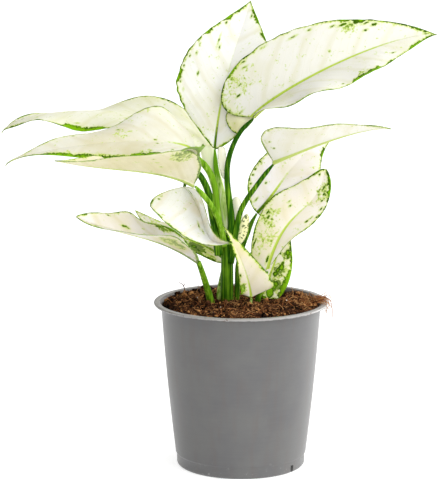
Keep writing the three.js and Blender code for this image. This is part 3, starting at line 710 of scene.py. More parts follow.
# How light each stalk is at its top and further down; 0 is a plain green
STALK_LIGHTNESS = {
    "upper_right_leaf": (-0.35, -0.2),
    "right_folded_leaf": (-0.3, -0.1),
    "crown_leaf": (-1.2, 0.35),
    "upper_left_back_leaf": (1.2, 0.3),
    "upper_left_front_leaf": (0.3, 0.3),
    "left_folded_leaf": (0.3, 0.3),
    "front_hanging_leaf": (-0.1, -0.1),
    "lower_left_leaf": (0.15, 0.15),
    "right_back_leaf": (-0.1, -0.1),
    "front_low_leaf": (0.1, 0.1),
}

# ------------------------------------------------------------------ helpers


def soft_noise(points, size, seed, waves=14):
    """Smooth noise of about -1 to 1 whose features are about `size` across."""
    usual_peak = 1.6
    rng = np.random.default_rng(seed)
    directions = rng.normal(size=(waves, 3))
    directions /= np.linalg.norm(directions, axis=1, keepdims=True)
    phases = rng.uniform(0, 2 * math.pi, waves)
    swings = np.sin(points @ directions.T * (math.pi / size) + phases)
    return swings.sum(-1) * math.sqrt(2 / waves) / usual_peak


def between(start, end, share):
    """The value at a share of the way from start to end."""
    return start + (end - start) * share


def smoothstep(low, high, x):
    """Eases from 0 to 1 as x goes from low to high, or down where low is the higher."""
    share = np.clip((x - low) / (high - low), 0, 1)
    return share * share * (3 - 2 * share)


def unit(v):
    """Vectors scaled to a length of 1."""
    return v / np.maximum(np.linalg.norm(v, axis=-1, keepdims=True), 1e-9)


def round_angles(count):
    """Even angles round a circle, up to the one before the first again."""
    return np.linspace(0, 2 * math.pi, count, endpoint=False)


def grid_faces(rows, columns, first=0, flip=False, wrap=False):
    """Quads of a grid of vertices. wrap joins the last column to the first."""
    across = columns if wrap else columns - 1
    r, c = np.meshgrid(np.arange(rows - 1), np.arange(across), indexing="ij")
    following = (c + 1) % columns
    corners = [
        r * columns + c,
        r * columns + following,
        (r + 1) * columns + following,
        (r + 1) * columns + c,
    ]
    if flip:
        corners.reverse()
    return first + np.stack(corners, -1).reshape(-1, 4)


def capped_faces(rows, columns):
    """Faces of a tube of vertices, with a cap at each end."""
    start = list(range(columns))
    end = [(rows - 1) * columns + i for i in start]
    return [*(list(f) for f in grid_faces(rows, columns, wrap=True)), start[::-1], end]


def ball_points(rows, columns, pole):
    """Points of a unit ball, the first and last rows `pole` radians from its poles."""
    theta = np.linspace(pole, math.pi - pole, rows)[:, None]
    phi = round_angles(columns)[None, :]
    level = np.cos(theta) * np.ones_like(phi)
    ball = np.stack([np.sin(theta) * np.cos(phi), np.sin(theta) * np.sin(phi), level], -1)
    return ball.reshape(-1, 3)


def joined(meshes):
    """Several meshes, each its points and faces, as one."""
    faces = []
    count = 0
    for points, part_faces in meshes:
        faces += [[count + k for k in f] for f in part_faces]
        count += len(points)
    return np.concatenate([np.asarray(points) for points, _ in meshes]), faces


def make_piece(name, points, faces, material, attributes=None):
    """A mesh object from points in millimetres. attributes holds one vector a point."""
    mesh = bpy.data.meshes.new(name)
    mesh.from_pydata((np.asarray(points) * MM).tolist(), [], [list(f) for f in faces])
    mesh.update()
    mesh.polygons.foreach_set("use_smooth", [True] * len(mesh.polygons))
    for key, values in (attributes or {}).items():
        layer = mesh.attributes.new(key, "FLOAT_VECTOR", "POINT")
        layer.data.foreach_set("vector", np.asarray(values, np.float32).ravel())
    mesh.materials.append(material)
    piece = bpy.data.objects.new(name, mesh)
    bpy.context.scene.collection.objects.link(piece)
    return piece


def place(piece, node):
    """Rides the piece on the only body, in place of the solid that it stands for."""
    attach(piece, "root")
    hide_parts(node)


def colour(red, green, blue):
    """A colour in screen values of 0 to 255, as the linear one that nodes take."""
    shares = (red / 255, green / 255, blue / 255)
    return (*((c / 12.92 if c < 0.04045 else ((c + 0.055) / 1.055) ** 2.4) for c in shares), 1)


class Shades:
    """The node tree of a material or of the world, with short ways to add nodes to it."""

    def __init__(self, owner):
        owner.use_nodes = True
        self.owner = owner
        self.tree = owner.node_tree
        self.coordinates = None

    def node(self, kind, **settings):
        made = self.tree.nodes.new(kind)
        for key, value in settings.items():
            setattr(made, key, value)
        return made

    def feed(self, socket, value):
        if isinstance(value, bpy.types.NodeSocket):
            self.tree.links.new(value, socket)
        else:
            socket.default_value = value

    def math(self, operation, *values, clamp=False):
        made = self.node("ShaderNodeMath", operation=operation, use_clamp=clamp)
        for socket, value in zip(made.inputs, values):
            self.feed(socket, value)
        return made.outputs[0]

    def times(self, a, b):
        return self.math("MULTIPLY", a, b)

    def most(self, value, *others):
        for other in others:
            value = self.math("MAXIMUM", value, other)
        return value

    def sway(self, noise, amount, value, clamp=False):
        """Adds a noise of 0 to 1 to a value, centred on it and `amount` wide."""
        return self.math("MULTIPLY_ADD", self.math("SUBTRACT", noise, 0.5), amount, value, clamp=clamp)

    def step(self, value, low, high, bottom=0.0, top=1.0):
        """Eases from bottom to top as value goes from low to high."""
        made = self.node("ShaderNodeMapRange", interpolation_type="SMOOTHSTEP")
        for socket, given in zip(made.inputs, (value, low, high, bottom, top)):
            self.feed(socket, given)
        return made.outputs[0]

    def mix(self, share, *tones):
        """Mixes two tones, each a socket or a screen colour."""
        made = self.node("ShaderNodeMix", data_type="RGBA")
        self.feed(made.inputs[0], share)
        sockets = [socket for socket in made.inputs if socket.type == "RGBA"]
        for socket, tone in zip(sockets, tones):
            self.feed(socket, colour(*tone) if isinstance(tone, tuple) else tone)
        return next(socket for socket in made.outputs if socket.type == "RGBA")

    def where(self):
        """The place of a point on the object, in metres."""
        if self.coordinates is None:
            self.coordinates = self.node("ShaderNodeTexCoord").outputs["Object"]
        return self.coordinates

    def stretch(self, x, y, z):
        made = self.node("ShaderNodeMapping")
        self.feed(made.inputs["Vector"], self.where())
        made.inputs["Scale"].default_value = (x, y, z)
        return made.outputs[0]

    def noise(self, size, detail, rough=0.55, vector=None):
        """Noise from 0 to 1 with features about `size` millimetres across."""
        made = self.node("ShaderNodeTexNoise")
        self.feed(made.inputs["Vector"], self.where() if vector is None else vector)
        made.inputs["Scale"].default_value = 1 / (size * MM)
        made.inputs["Detail"].default_value = detail
        made.inputs["Roughness"].default_value = rough
        return made.outputs[0]

    def attribute(self, name):
        """The three parts of a vector that the mesh holds for each point."""
        made = self.node("ShaderNodeAttribute", attribute_name=name)
        return self.parts(made.outputs["Vector"])

    def parts(self, vector):
        made = self.node("ShaderNodeSeparateXYZ")
        self.feed(made.inputs[0], vector)
        return made.outputs

    def bump(self, height, depth):
        """Turns a height from 0 to 1 into relief `depth` millimetres deep."""
        made = self.node("ShaderNodeBump")
        made.inputs["Strength"].default_value = 1.0
        made.inputs["Distance"].default_value = depth * MM
        self.feed(made.inputs["Height"], height)
        return made.outputs[0]

    def finish(self, **sockets):
        """Feeds the shader's sockets, given by name with _ for a space, and gives the
        material."""
        shader = self.tree.nodes["Principled BSDF"]
        for key, value in sockets.items():
            self.feed(shader.inputs[key.replace("_", " ")], value)
        return self.owner


# ------------------------------------------------------------------ materials


def add_veins(m, base, shaded, along, across, broad, medium):
    """Side veins, which leave the midrib at a slant and bend towards the tip, and broader
    soft bands of painted shade between them. Gives the new base and how near a vein each
    point is."""
    reach = m.math("ABSOLUTE", across)
    bend = m.math("POWER", reach, VEIN_BEND)
    phase = m.math("DIVIDE", m.math("MULTIPLY_ADD", bend, -VEIN_SLANT, along), VEIN_SPACING)
    wavy = m.sway(broad, 1.2, phase)
    vein = m.step(m.math("PINGPONG", wavy, 0.5), 0.0, 0.1, 1.0, 0.0)
    away = m.step(reach, 1.0, 6.0)
    vein_tint = m.times(m.times(vein, away), m.step(medium, 0.35, 0.65, 0.03, 0.18))
    base = m.mix(vein_tint, base, VEIN_TONE)
    # painted shade: soft bands across the blade turn the cream towards its shaded tone
    shade_band = m.step(m.math("PINGPONG", m.times(wavy, 0.29), 0.5), 0.3, 0.5)
    return m.mix(m.times(shade_band, 0.35), base, shaded), vein


def add_marks(m, base, edge, patch, mottle, green_width, broad, medium, fine):
    """The green of the margin, the spots and the mottled areas, each inside a glow of
    yellow green."""
    inset = m.math("SUBTRACT", green_width, edge)
    ragged = m.sway(fine, 4.0, m.sway(medium, 2.4, inset))
    line_width = m.step(medium, 0.3, 0.6, 0.3, 0.75)
    line = m.step(m.math("SUBTRACT", line_width, edge), -0.15, 0.1)
    spots = m.sway(fine, 1.3, patch)
    flecks = m.math("MULTIPLY_ADD", medium, 0.5, m.times(fine, 0.5))
    speckled = m.math("MULTIPLY_ADD", mottle, 0.2, flecks)
    speck = m.times(m.step(speckled, 0.69, 0.73), 0.8)
    broken = m.most(m.step(ragged, -0.1, 0.25), m.step(spots, -0.15, 0.2), speck)
    green_share = m.most(broken, m.times(line, 0.15))

    glow = m.times(m.step(edge, 7.0, 0.0), m.step(broad, 0.4, 0.7, 0.25, 1.0))
    base = m.mix(m.times(glow, 0.22), base, GLOW_TONE)
    brim = m.times(m.step(edge, 2.2, 0.4), m.step(medium, 0.35, 0.6))
    base = m.mix(m.times(brim, 0.55), base, BRIM_TONE)
    halo = m.most(m.step(ragged, -1.4, 0.1), m.step(spots, -1.0, 0.2), m.step(speckled, 0.58, 0.68))
    base = m.mix(m.times(halo, 0.75), base, HALO_TONE)
    faint = m.times(m.step(flecks, 0.6, 0.66), m.step(edge, 9.0, 1.0))
    base = m.mix(m.times(faint, 0.4), base, FLECK_TONE)
    thin_green = m.mix(m.step(m.noise(7, 2), 0.4, 0.6), *MARGIN_LINE_TONES)
    base = m.mix(m.times(line, 0.8), base, thin_green)
    inner = m.most(m.step(ragged, 0.5, 2.0), m.step(spots, 0.5, 1.4))
    lit = m.math("MULTIPLY_ADD", medium, 0.6, m.times(broad, 0.5))
    lit = m.math("MULTIPLY_ADD", inner, 0.3, lit)
    return m.mix(green_share, base, m.mix(m.step(lit, 0.45, 0.9), MARK_DARK, MARK_BRIGHT))


def leaf_material(name, cream, shaded):
    """Creamy leaf with a green margin and marks. leaf_place holds the distance along and
    across the blade and 1 on the underside, leaf_marks how deep a point lies inside the
    margin and the spots and how mottled it is, leaf_tints how near the midrib it is, how
    far the cream turns to its warmer tone, partly as painted shade, and how green the
    midrib is, and leaf_green how wide the margin's green is."""
    m = Shades(bpy.data.materials.new(name))
    along, across, under = m.attribute("leaf_place")
    edge, patch, mottle = m.attribute("leaf_marks")
    ridge, warmth_and_shade, rib_green = m.attribute("leaf_tints")
    green_width = m.attribute("leaf_green")[0]
    broad = m.noise(16, 2)
    medium = m.noise(4.5, 3)
    fine = m.noise(1.6, 3)
    grain = m.noise(0.5, 2)
    # the cream turns to the warmer tone: the leaf's own beige, and painted shade where it is shaded
    base = m.mix(m.sway(broad, 1.1, warmth_and_shade, clamp=True), cream, shaded)
    base, vein = add_veins(m, base, shaded, along, across, broad, medium)
    base = add_marks(m, base, edge, patch, mottle, green_width, broad, medium, fine)

    streaks = m.sway(fine, 0.5, rib_green)
    rib_tone = m.mix(m.step(streaks, 0.6, 1.0), RIB_LIGHT, RIB_DARK)
    rib_share = m.times(m.step(ridge, -0.35, 0.15), m.step(streaks, 0.0, 0.55))
    base = m.mix(rib_share, base, rib_tone)
    base = m.mix(m.times(under, 0.25), base, UNDERSIDE_TONE)
    relief = m.math("MULTIPLY_ADD", grain, 0.3, m.times(vein, -0.12))
    return m.finish(
        Base_Color=base,
        Roughness=m.step(medium, 0.2, 0.8, 0.46, 0.6),
        Specular_IOR_Level=0.06,
        Subsurface_Weight=0.05,
        Subsurface_Radius=(1.0, 0.95, 0.6),
        Subsurface_Scale=1.0 * MM,
        Normal=m.bump(relief, 0.3),
    )


def stalk_material(name, dark, light, pale):
    """Fleshy green, streaked along its length and browned by soil at its foot. stalk_place
    holds the height over the soil and how light the stalk is."""
    m = Shades(bpy.data.materials.new(name))
    height, lightness, _ = m.attribute("stalk_place")
    streaks = m.noise(1.3, 3, vector=m.stretch(1, 1, 0.03))
    soft = m.noise(12, 2)
    share = m.math("MULTIPLY_ADD", soft, 0.35, m.times(streaks, 0.95))
    share = m.math("ADD", share, m.times(lightness, 0.5))
    base = m.mix(m.step(share, 0.5, 0.82), dark, light)
    base = m.mix(m.step(share, 0.78, 1.05), base, pale)
    browned = m.step(m.sway(streaks, 6.0, height), 0.5, 4.0, 1.0, 0.0)
    base = m.mix(m.times(browned, 0.5), base, STALK_SOIL_TONE)
    return m.finish(
        Base_Color=base,
        Roughness=m.step(streaks, 0.2, 0.8, 0.4, 0.55),
        Specular_IOR_Level=0.05,
        Normal=m.bump(streaks, 0.15),
    )


def scale_material(name, body, dry, spotted):
    """Dry scale leaf, streaked along its length; spotted is how much green it shows."""
    m = Shades(bpy.data.materials.new(name))
    edge = m.attribute("leaf_marks")[0]
    streaks = m.noise(1.2, 4, vector=m.stretch(1, 1, 0.15))
    fine = m.noise(1.8, 3)
    base = m.mix(m.step(streaks, 0.3, 0.75), body, dry)
    line = m.step(m.sway(fine, 1.6, edge), 0.7, 0.2)
    base = m.mix(m.times(line, 0.7), base, SCALE_GREENS[0])
    base = m.mix(m.times(m.step(fine, 0.54, 0.6), spotted), base, SCALE_GREENS[1])
    return m.finish(Base_Color=base, Roughness=0.6, Specular_IOR_Level=0.15, Normal=m.bump(streaks, 0.2))


def pot_material():
    """Grey moulded plastic: faint cloudiness, fine lines round it from the mould, scuffs
    near the foot, a painted highlight on the lip with a painted shadow under it, specks of
    peat near the rim, and a darker brown on the inner ledge and wall."""
    m = Shades(bpy.data.materials.new("pot_plastic"))
    x, y, z = m.parts(m.where())
    cloud = m.noise(26, 3)
    grain = m.noise(0.7, 4)
    marks = m.noise(2.6, 4)
    base = m.mix(m.step(cloud, 0.3, 0.7), *POT_TONES)
    drawn = m.noise(5, 3, vector=m.stretch(1, 1, 0.1))
    base = m.mix(m.times(m.step(drawn, 0.45, 0.75), 0.35), base, POT_STREAK_TONE)
    lines = m.noise(1.1, 4, vector=m.stretch(0.06, 0.06, 1))
    base = m.mix(m.times(m.step(lines, 0.35, 0.75), 0.08), base, POT_LINE_TONE)
    low = m.step(z, 0.002, 0.014, 1.0, 0.0)
    scuffed = m.times(m.step(marks, 0.6, 0.72), m.math("MULTIPLY_ADD", low, 0.9, 0.04))
    base = m.mix(m.times(scuffed, 0.35), base, POT_SCUFF_TONE)

    lip = BODY_TOP * MM
    # painted highlight: the top of the lip is lightened as if it caught light from above
    lip_highlight = m.step(m.sway(m.noise(3, 3), 0.0018, z), lip + 0.0001, lip + 0.0009)
    base = m.mix(m.times(lip_highlight, 0.5), base, POT_LIP_HIGHLIGHT_TONE)
    # painted shadow: a dark band just under the lip
    under_lip_shade = m.times(m.step(z, lip - 0.0016, lip - 0.0005), m.step(z, lip + 0.0002, lip))
    base = m.mix(m.times(under_lip_shade, 0.6), base, POT_UNDER_LIP_SHADE_TONE)
    high = m.step(z, lip - 0.004, lip + 0.002)
    dust = m.times(high, m.step(m.noise(1.8, 4), 0.6, 0.64))
    base = m.mix(m.times(dust, 0.75), base, POT_DUST_TONE)

    radius = m.math("SQRT", m.math("MULTIPLY_ADD", x, x, m.times(y, y)))
    brink = RIM_INNER_RADIUS * MM
    inside_lip = m.step(radius, brink + 0.0001, brink - 0.0003)
    ledge = m.times(inside_lip, m.step(z, lip + 0.0002, lip + 0.0005))
    inside_wall = m.step(radius, brink - 0.0014, brink - 0.0017)
    wall = m.times(inside_wall, m.step(z, lip - 0.005, lip - 0.004))
    # the inner ledge and the wall below the lip are darker brown
    browned = m.times(m.most(ledge, wall), m.step(marks, 0.3, 0.6, 0.95, 0.75))
    base = m.mix(browned, base, POT_INNER_BROWN_TONE)
    return m.finish(
        Base_Color=base,
        Roughness=m.step(cloud, 0.2, 0.8, 0.3, 0.4),
        Specular_IOR_Level=0.6,
        Normal=m.bump(m.math("MULTIPLY_ADD", lines, 0.2, grain), 0.03),
    )


def soil_material():
    """Peat and coir. soil_look holds each crumb's own tone, how deep a point lies in a low
    place of the soil's relief, where shade is painted, and 1 on a grain of perlite."""
    m = Shades(bpy.data.materials.new("soil"))
    tone, recess_shade, white = m.attribute("soil_look")
    fine = m.noise(1.1, 4, 0.7)
    medium = m.noise(3.2, 4, 0.65)
    large = m.noise(10, 3, 0.6)
    rough = m.math("MULTIPLY_ADD", fine, 0.55, m.times(medium, 0.55))
    share = m.math("MULTIPLY_ADD", tone, 0.2, m.math("MULTIPLY_ADD", large, 0.6, rough))
    dark, brown, straw = SOIL_TONES
    base = m.mix(m.step(share, 0.69, 0.91), dark, brown)
    base = m.mix(m.step(share, 0.91, 1.07), base, straw)
    # painted shade: the low places of the relief turn almost black
    base = m.mix(m.times(recess_shade, 0.9), base, SOIL_RECESS_SHADE_TONE)
    base = m.mix(white, base, PERLITE_TONE)
    return m.finish(Base_Color=base, Roughness=0.95, Specular_IOR_Level=0.05, Normal=m.bump(rough, 0.8))


def fibre_material():
    """Coir: each strand has its own tone, from dark brown to straw."""
    m = Shades(bpy.data.materials.new("fibre"))
    tone, _, _ = m.attribute("soil_look")
    fine = m.noise(1.2, 3)
    share = m.math("MULTIPLY_ADD", fine, 0.3, tone)
    dark, brown, straw = FIBRE_TONES
    base = m.mix(m.step(share, 0.0, 0.7), dark, brown)
    base = m.mix(m.step(share, 0.75, 1.2), base, straw)
    return m.finish(Base_Color=base, Roughness=0.85, Specular_IOR_Level=0.08, Normal=m.bump(fine, 0.1))


# ------------------------------------------------------------------ blades


def look_direction(azimuth, elevation):
    """A direction from its azimuth, 0 towards the viewer, and its elevation."""
    a, e = math.radians(azimuth), math.radians(elevation)
    return np.array((math.sin(a) * math.cos(e), -math.cos(a) * math.cos(e), math.sin(e)))


def midrib_frames(leaf, t):
    """Points, directions and upward faces along the midrib at the shares t."""
    p0, p1, p2, p3 = (np.array(p, float) for p in leaf["midrib"])
    t = t[:, None]
    s = 1 - t
    points = s**3 * p0 + 3 * s * s * t * p1 + 3 * s * t * t * p2 + t**3 * p3
    along = unit(s * s * (p1 - p0) + 2 * s * t * (p2 - p1) + t * t * (p3 - p2))
    start, end = (look_direction(*f) for f in leaf["faces"])
    face = start * (1 - t) + end * t
    face = unit(face - along * (face * along).sum(1, keepdims=True))
    return points, along, face


def blade_middle(leaf, t, u, seed):
    """The blade's middle surface on the grid t by u, its faces and the halves' widths."""
    points, along, face = midrib_frames(leaf, t)
    rise, fall = leaf["fullness"]
    peak = rise**rise * fall**fall / (rise + fall) ** (rise + fall)
    spread = t**rise * (1 - t) ** fall / peak
    surface = np.empty((len(t), len(u), 3))
    widths = np.empty((len(t), 2))
    for side, sign in ((0, 1), (1, -1)):
        columns = u >= 0 if side == 0 else u < 0
        reach = np.abs(u[columns])[None, :]
        wobble = 0.012 * soft_noise(points, 9, seed + side) + 0.008 * soft_noise(points, 3, seed + side + 5)
        width = leaf["half_widths"][side] * spread * (1 + wobble)
        half_turn = math.radians(leaf["curls"][side]) * reach / 2
        chord = width[:, None] * reach * np.sinc(half_turn / math.pi)
        slant = math.radians(leaf["folds"][side]) + half_turn
        amplitude, count, phase = leaf.get("ripples", ((0, 1, 0), (0, 1, 0)))[side]
        swing = np.cos(2 * math.pi * count * t - math.radians(phase))
        ripple = amplitude * (swing * spread)[:, None] * reach**2
        lobe = leaf.get("lobes", (0, 0))[side]
        back = LOBE_GAIN * lobe * (spread * (1 - t) ** LOBE_FADE)[:, None] * reach
        outward = sign * np.cross(face, along)
        surface[:, columns] = (
            points[:, None]
            + outward[:, None] * (chord * np.cos(slant))[..., None]
            + face[:, None] * (chord * np.sin(slant) + ripple)[..., None]
            - along[:, None] * back[..., None]
        )
        widths[:, side] = width
    return surface, face, widths


def green_width(dashes, t, margin_points, seed):
    """The width of the green along one margin, in millimetres."""
    width = 0.1 + 0.35 * soft_noise(margin_points, 5, seed)
    if not dashes:
        width = width + 1.6 * smoothstep(0.2, 1, soft_noise(margin_points, 13, seed + 1))
    for start, end, thick in dashes:
        inside = smoothstep(start - DASH_EASE, start + DASH_EASE, t)
        inside = inside * smoothstep(end + DASH_EASE, end - DASH_EASE, t)
        width = np.maximum(width, thick * inside)
    return width


def blade_grid(leaf, seed):
    """The blade's middle surface on a grid, with the distance along and across it, and
    how deep each point lies inside the margin."""
    length = np.linalg.norm(np.subtract(leaf["midrib"][3], leaf["midrib"][0]))
    rows = max(LEAST_ROWS, int(length / CELL))
    columns = 2 * max(LEAST_HALF_COLUMNS, int(max(leaf["half_widths"]) / CELL)) + 1
    rib_column = columns // 2
    t = np.linspace(*BLADE_SPAN, rows)
    even = np.linspace(1, -1, columns)
    u = np.sign(even) * np.abs(even) ** COLUMN_CROWDING
    middle, face, widths = blade_middle(leaf, t, u, seed)
    normal = unit(np.cross(np.gradient(middle, axis=1), np.gradient(middle, axis=0)))
    if (normal[:, rib_column] * face).sum() < 0:
        normal = -normal
    width = np.where(u[None, :] >= 0, widths[:, :1], widths[:, 1:])
    steps = np.linalg.norm(np.diff(middle[:, rib_column], axis=0), axis=1)
    distance = np.concatenate(([0], np.cumsum(steps)))
    slope = np.gradient(width, axis=0) / np.gradient(distance)[:, None]
    return SimpleNamespace(
        t=t,
        u=u,
        middle=middle,
        normal=normal,
        face=face,
        widths=widths,
        distance=distance[:, None],
        across=u[None, :] * width,
        edge=width * (1 - np.abs(u)[None, :]) / np.sqrt(1 + slope**2),
    )


def rib_radii(marks, t):
    """The radius of the midrib at each t."""
    return (marks.get("rib_radius", RIB_RADIUS) * (1 - t) ** RIB_TAPER + RIB_LEAST_RADIUS)[:, None]


def blade_mesh(grid, marks):
    """The blade's skin: a groove over the midrib, a rounded rib under it, and the faint
    quilting of the side veins on both faces."""
    rib = rib_radii(marks, grid.t)
    across, reach = grid.across, np.abs(grid.u)[None, :]
    rib_height = np.sqrt(np.clip(1 - (across / rib) ** 2, 0, 1)) * rib
    groove = np.exp(-((across / (0.6 * rib + 0.2)) ** 2)) * rib * 0.3
    phase = (grid.distance - VEIN_SLANT * np.abs(across) ** VEIN_BEND) / VEIN_SPACING
    waves = QUILT_HEIGHT * np.cos(2 * math.pi * phase)
    quilt = waves * smoothstep(1, 6, np.abs(across)) * smoothstep(0, 5, grid.edge)
    half = BLADE_HALF_THICKNESS * np.sqrt(np.clip(1 - 0.9 * reach**10, 0, 1))
    upper = grid.middle + grid.normal * (half - groove + quilt)[..., None]
    lower = grid.middle - grid.normal * (half + rib_height - quilt)[..., None]

    points = np.concatenate((upper.reshape(-1, 3), lower.reshape(-1, 3)))
    rows, columns = len(grid.t), len(grid.u)
    top = grid_faces(rows, columns)
    bottom = grid_faces(rows, columns, rows * columns, flip=True)
    faces = np.concatenate((top, bottom, *blade_rims(rows, columns)))
    first = points[faces[0]]
    facing = np.cross(first[1] - first[0], first[2] - first[0])
    return points, faces[:, ::-1] if facing @ grid.face[0] < 0 else faces


def blade_rims(rows, columns):
    """Quads that close a blade's upper and lower grids along all four sides."""
    count = rows * columns
    r = np.arange(rows - 1) * columns
    c = np.arange(columns - 1)
    left = np.stack([r, r + columns, r + columns + count, r + count], -1)
    right = np.stack([r, r + count, r + columns + count, r + columns], -1) + columns - 1
    start = np.stack([c, c + count, c + 1 + count, c + 1], -1)
    end = np.stack([c, c + 1, c + 1 + count, c + count], -1) + (rows - 1) * columns
    return left, right, start, end


def blade_attributes(grid, marks, seed):
    """What leaf_material reads at each point of a blade, above and then below."""
    left_green = green_width(marks.get("left_dashes", ()), grid.t, grid.middle[:, 0], seed + 11)
    right_green = green_width(marks.get("right_dashes", ()), grid.t, grid.middle[:, -1], seed + 13)
    green = np.where(grid.u[None, :] >= 0, left_green[:, None], right_green[:, None])

    def offsets(t, u):
        """How far each point lies from a mark, along and across the blade."""
        side_width = np.interp(t, grid.t, grid.widths[:, 0 if u >= 0 else 1])
        start = np.interp(t, grid.t, grid.distance[:, 0])
        return grid.distance - start, grid.across - u * side_width

    patch = np.full_like(grid.edge, FAR_FROM_SPOTS)
    for t, u, half_length, half_width in marks.get("spots", ()):
        ahead, aside = offsets(t, u)
        gap = (1 - np.hypot(ahead / half_length, aside / half_width)) * min(half_length, half_width)
        patch = np.maximum(patch, gap)
    mottle = np.zeros_like(grid.edge)
    for t, u, radius, amount in marks.get("mottled", ()):
        mottle = np.maximum(mottle, amount * smoothstep(radius, 0.3 * radius, np.hypot(*offsets(t, u))))
    # painted shade: the listed areas turn the cream towards its warmer, shaded tone
    warmth_and_shade = np.full_like(grid.edge, marks.get("warmth_and_shade", 0.15))
    for t, u, radius, amount in marks.get("warm_and_shaded", ()):
        warmth_and_shade = warmth_and_shade + amount * smoothstep(radius, 0.2 * radius, np.hypot(*offsets(t, u)))
    ridge = rib_radii(marks, grid.t) * marks.get("rib_width", 0.8) - np.abs(grid.across)
    shares, greens = zip(*marks.get("rib", PLAIN_RIB))
    rib_green = np.interp(grid.t, shares, greens)[:, None]

    def layer(*values):
        return np.stack(np.broadcast_arrays(*values), -1).reshape(-1, 3)

    layers = {
        "leaf_place": (layer(grid.distance, grid.across, 0), layer(grid.distance, grid.across, 1)),
        "leaf_marks": (layer(grid.edge, patch, mottle),) * 2,
        "leaf_tints": (layer(ridge, warmth_and_shade, rib_green),) * 2,
        "leaf_green": (layer(green, 0, 0),) * 2,
    }
    return {name: np.concatenate(pair) for name, pair in layers.items()}


def build_blade(name, leaf, marks, material, seed):
    """A blade or a scale, with what its material reads."""
    grid = blade_grid(leaf, seed)
    return make_piece(name, *blade_mesh(grid, marks), material, blade_attributes(grid, marks, seed))


# ------------------------------------------------------------------ stalks


def blend(start, end, low, high, t):
    """Goes from start to end as t goes from low to high."""
    return (high - t) / (high - low) * start + (t - low) / (high - low) * end


def smooth_path(points, count):
    """Evenly spaced points on a centripetal Catmull-Rom curve through the points, and
    how far each lies from the start."""
    points = np.array(points, float)
    first = 2 * points[0] - points[1]
    last = 2 * points[-1] - points[-2]
    padded = np.vstack((first, points, last))
    line = []
    for p0, p1, p2, p3 in zip(padded, padded[1:], padded[2:], padded[3:]):
        t0 = 0
        t1 = t0 + np.linalg.norm(p1 - p0) ** 0.5
        t2 = t1 + np.linalg.norm(p2 - p1) ** 0.5
        t3 = t2 + np.linalg.norm(p3 - p2) ** 0.5
        t = np.linspace(t1, t2, CURVE_STEPS, endpoint=False)[:, None]
        a1 = blend(p0, p1, t0, t1, t)
        a2 = blend(p1, p2, t1, t2, t)
        a3 = blend(p2, p3, t2, t3, t)
        line.append(blend(blend(a1, a2, t0, t2, t), blend(a2, a3, t1, t3, t), t1, t2, t))
    line = np.vstack((*line, points[-1:]))
    run = np.concatenate(([0], np.cumsum(np.linalg.norm(np.diff(line, axis=0), axis=1))))
    even = np.linspace(0, run[-1], count)
    return np.stack([np.interp(even, run, line[:, k]) for k in range(3)], -1), even


def path_frames(path):
    """Two normals along a path, which turn as little as possible."""
    along = unit(np.gradient(path, axis=0))
    normal = np.empty_like(path)
    helper = np.array((0, -1, 0.2))
    current = unit(helper - along[0] * (helper @ along[0]))
    for i, direction in enumerate(along):
        current = unit(current - direction * (current @ direction))
        normal[i] = current
    return normal, np.cross(along, normal)


def tube_mesh(path, radii, sides, groove=0.0):
    """A tube along the path. groove sinks a channel into its front."""
    normal, side = path_frames(path)
    angle = round_angles(sides)
    channel = 1 - groove * np.exp(-((np.minimum(angle, 2 * math.pi - angle) / 0.45) ** 2))
    outward = normal[:, None] * np.cos(angle)[None, :, None] + side[:, None] * np.sin(angle)[None, :, None]
    rings = path[:, None] + radii[:, None, None] * channel[None, :, None] * outward
    return rings.reshape(-1, 3), capped_faces(len(path), sides)


def build_stalk(node, points, radii, material, lightness=(0, 0), taper=True):
    """A stalk along its points. With taper it thins below its blade and has a groove."""
    path, run = smooth_path(points, STALK_RINGS)
    share = run / run[-1]
    widths = between(*radii, share)
    if taper:
        widths = widths * between(STALK_TAPER["share"], 1, smoothstep(0, STALK_TAPER["length"], run))
    rings, faces = tube_mesh(path, widths, STALK_SIDES, STALK_GROOVE if taper else 0)
    light = np.repeat(between(*lightness, smoothstep(0.1, 0.5, share)), STALK_SIDES)
    look = np.stack([rings[:, 2] - SOIL_LEVEL, light, np.zeros_like(light)], -1)
    place(make_piece(node + "_skin", rings, faces, material, {"stalk_place": look}), node)


# ------------------------------------------------------------------ pot


def body_radius(z):
    """The outer radius of the pot's wall at a height."""
    share = (z - LEDGE_HEIGHT) / (BODY_TOP - LEDGE_HEIGHT)
    return between(BODY_FOOT_RADIUS, BODY_TOP_RADIUS, share) + BODY_BULGE * math.sin(math.pi * share)


def arc(x, z, radius, start, end, count):
    """Points of an arc round (x, z), its angles in degrees."""
    return [
        (x + radius * math.cos(a), z + radius * math.sin(a))
        for a in np.radians(np.linspace(start, end, count))
    ]


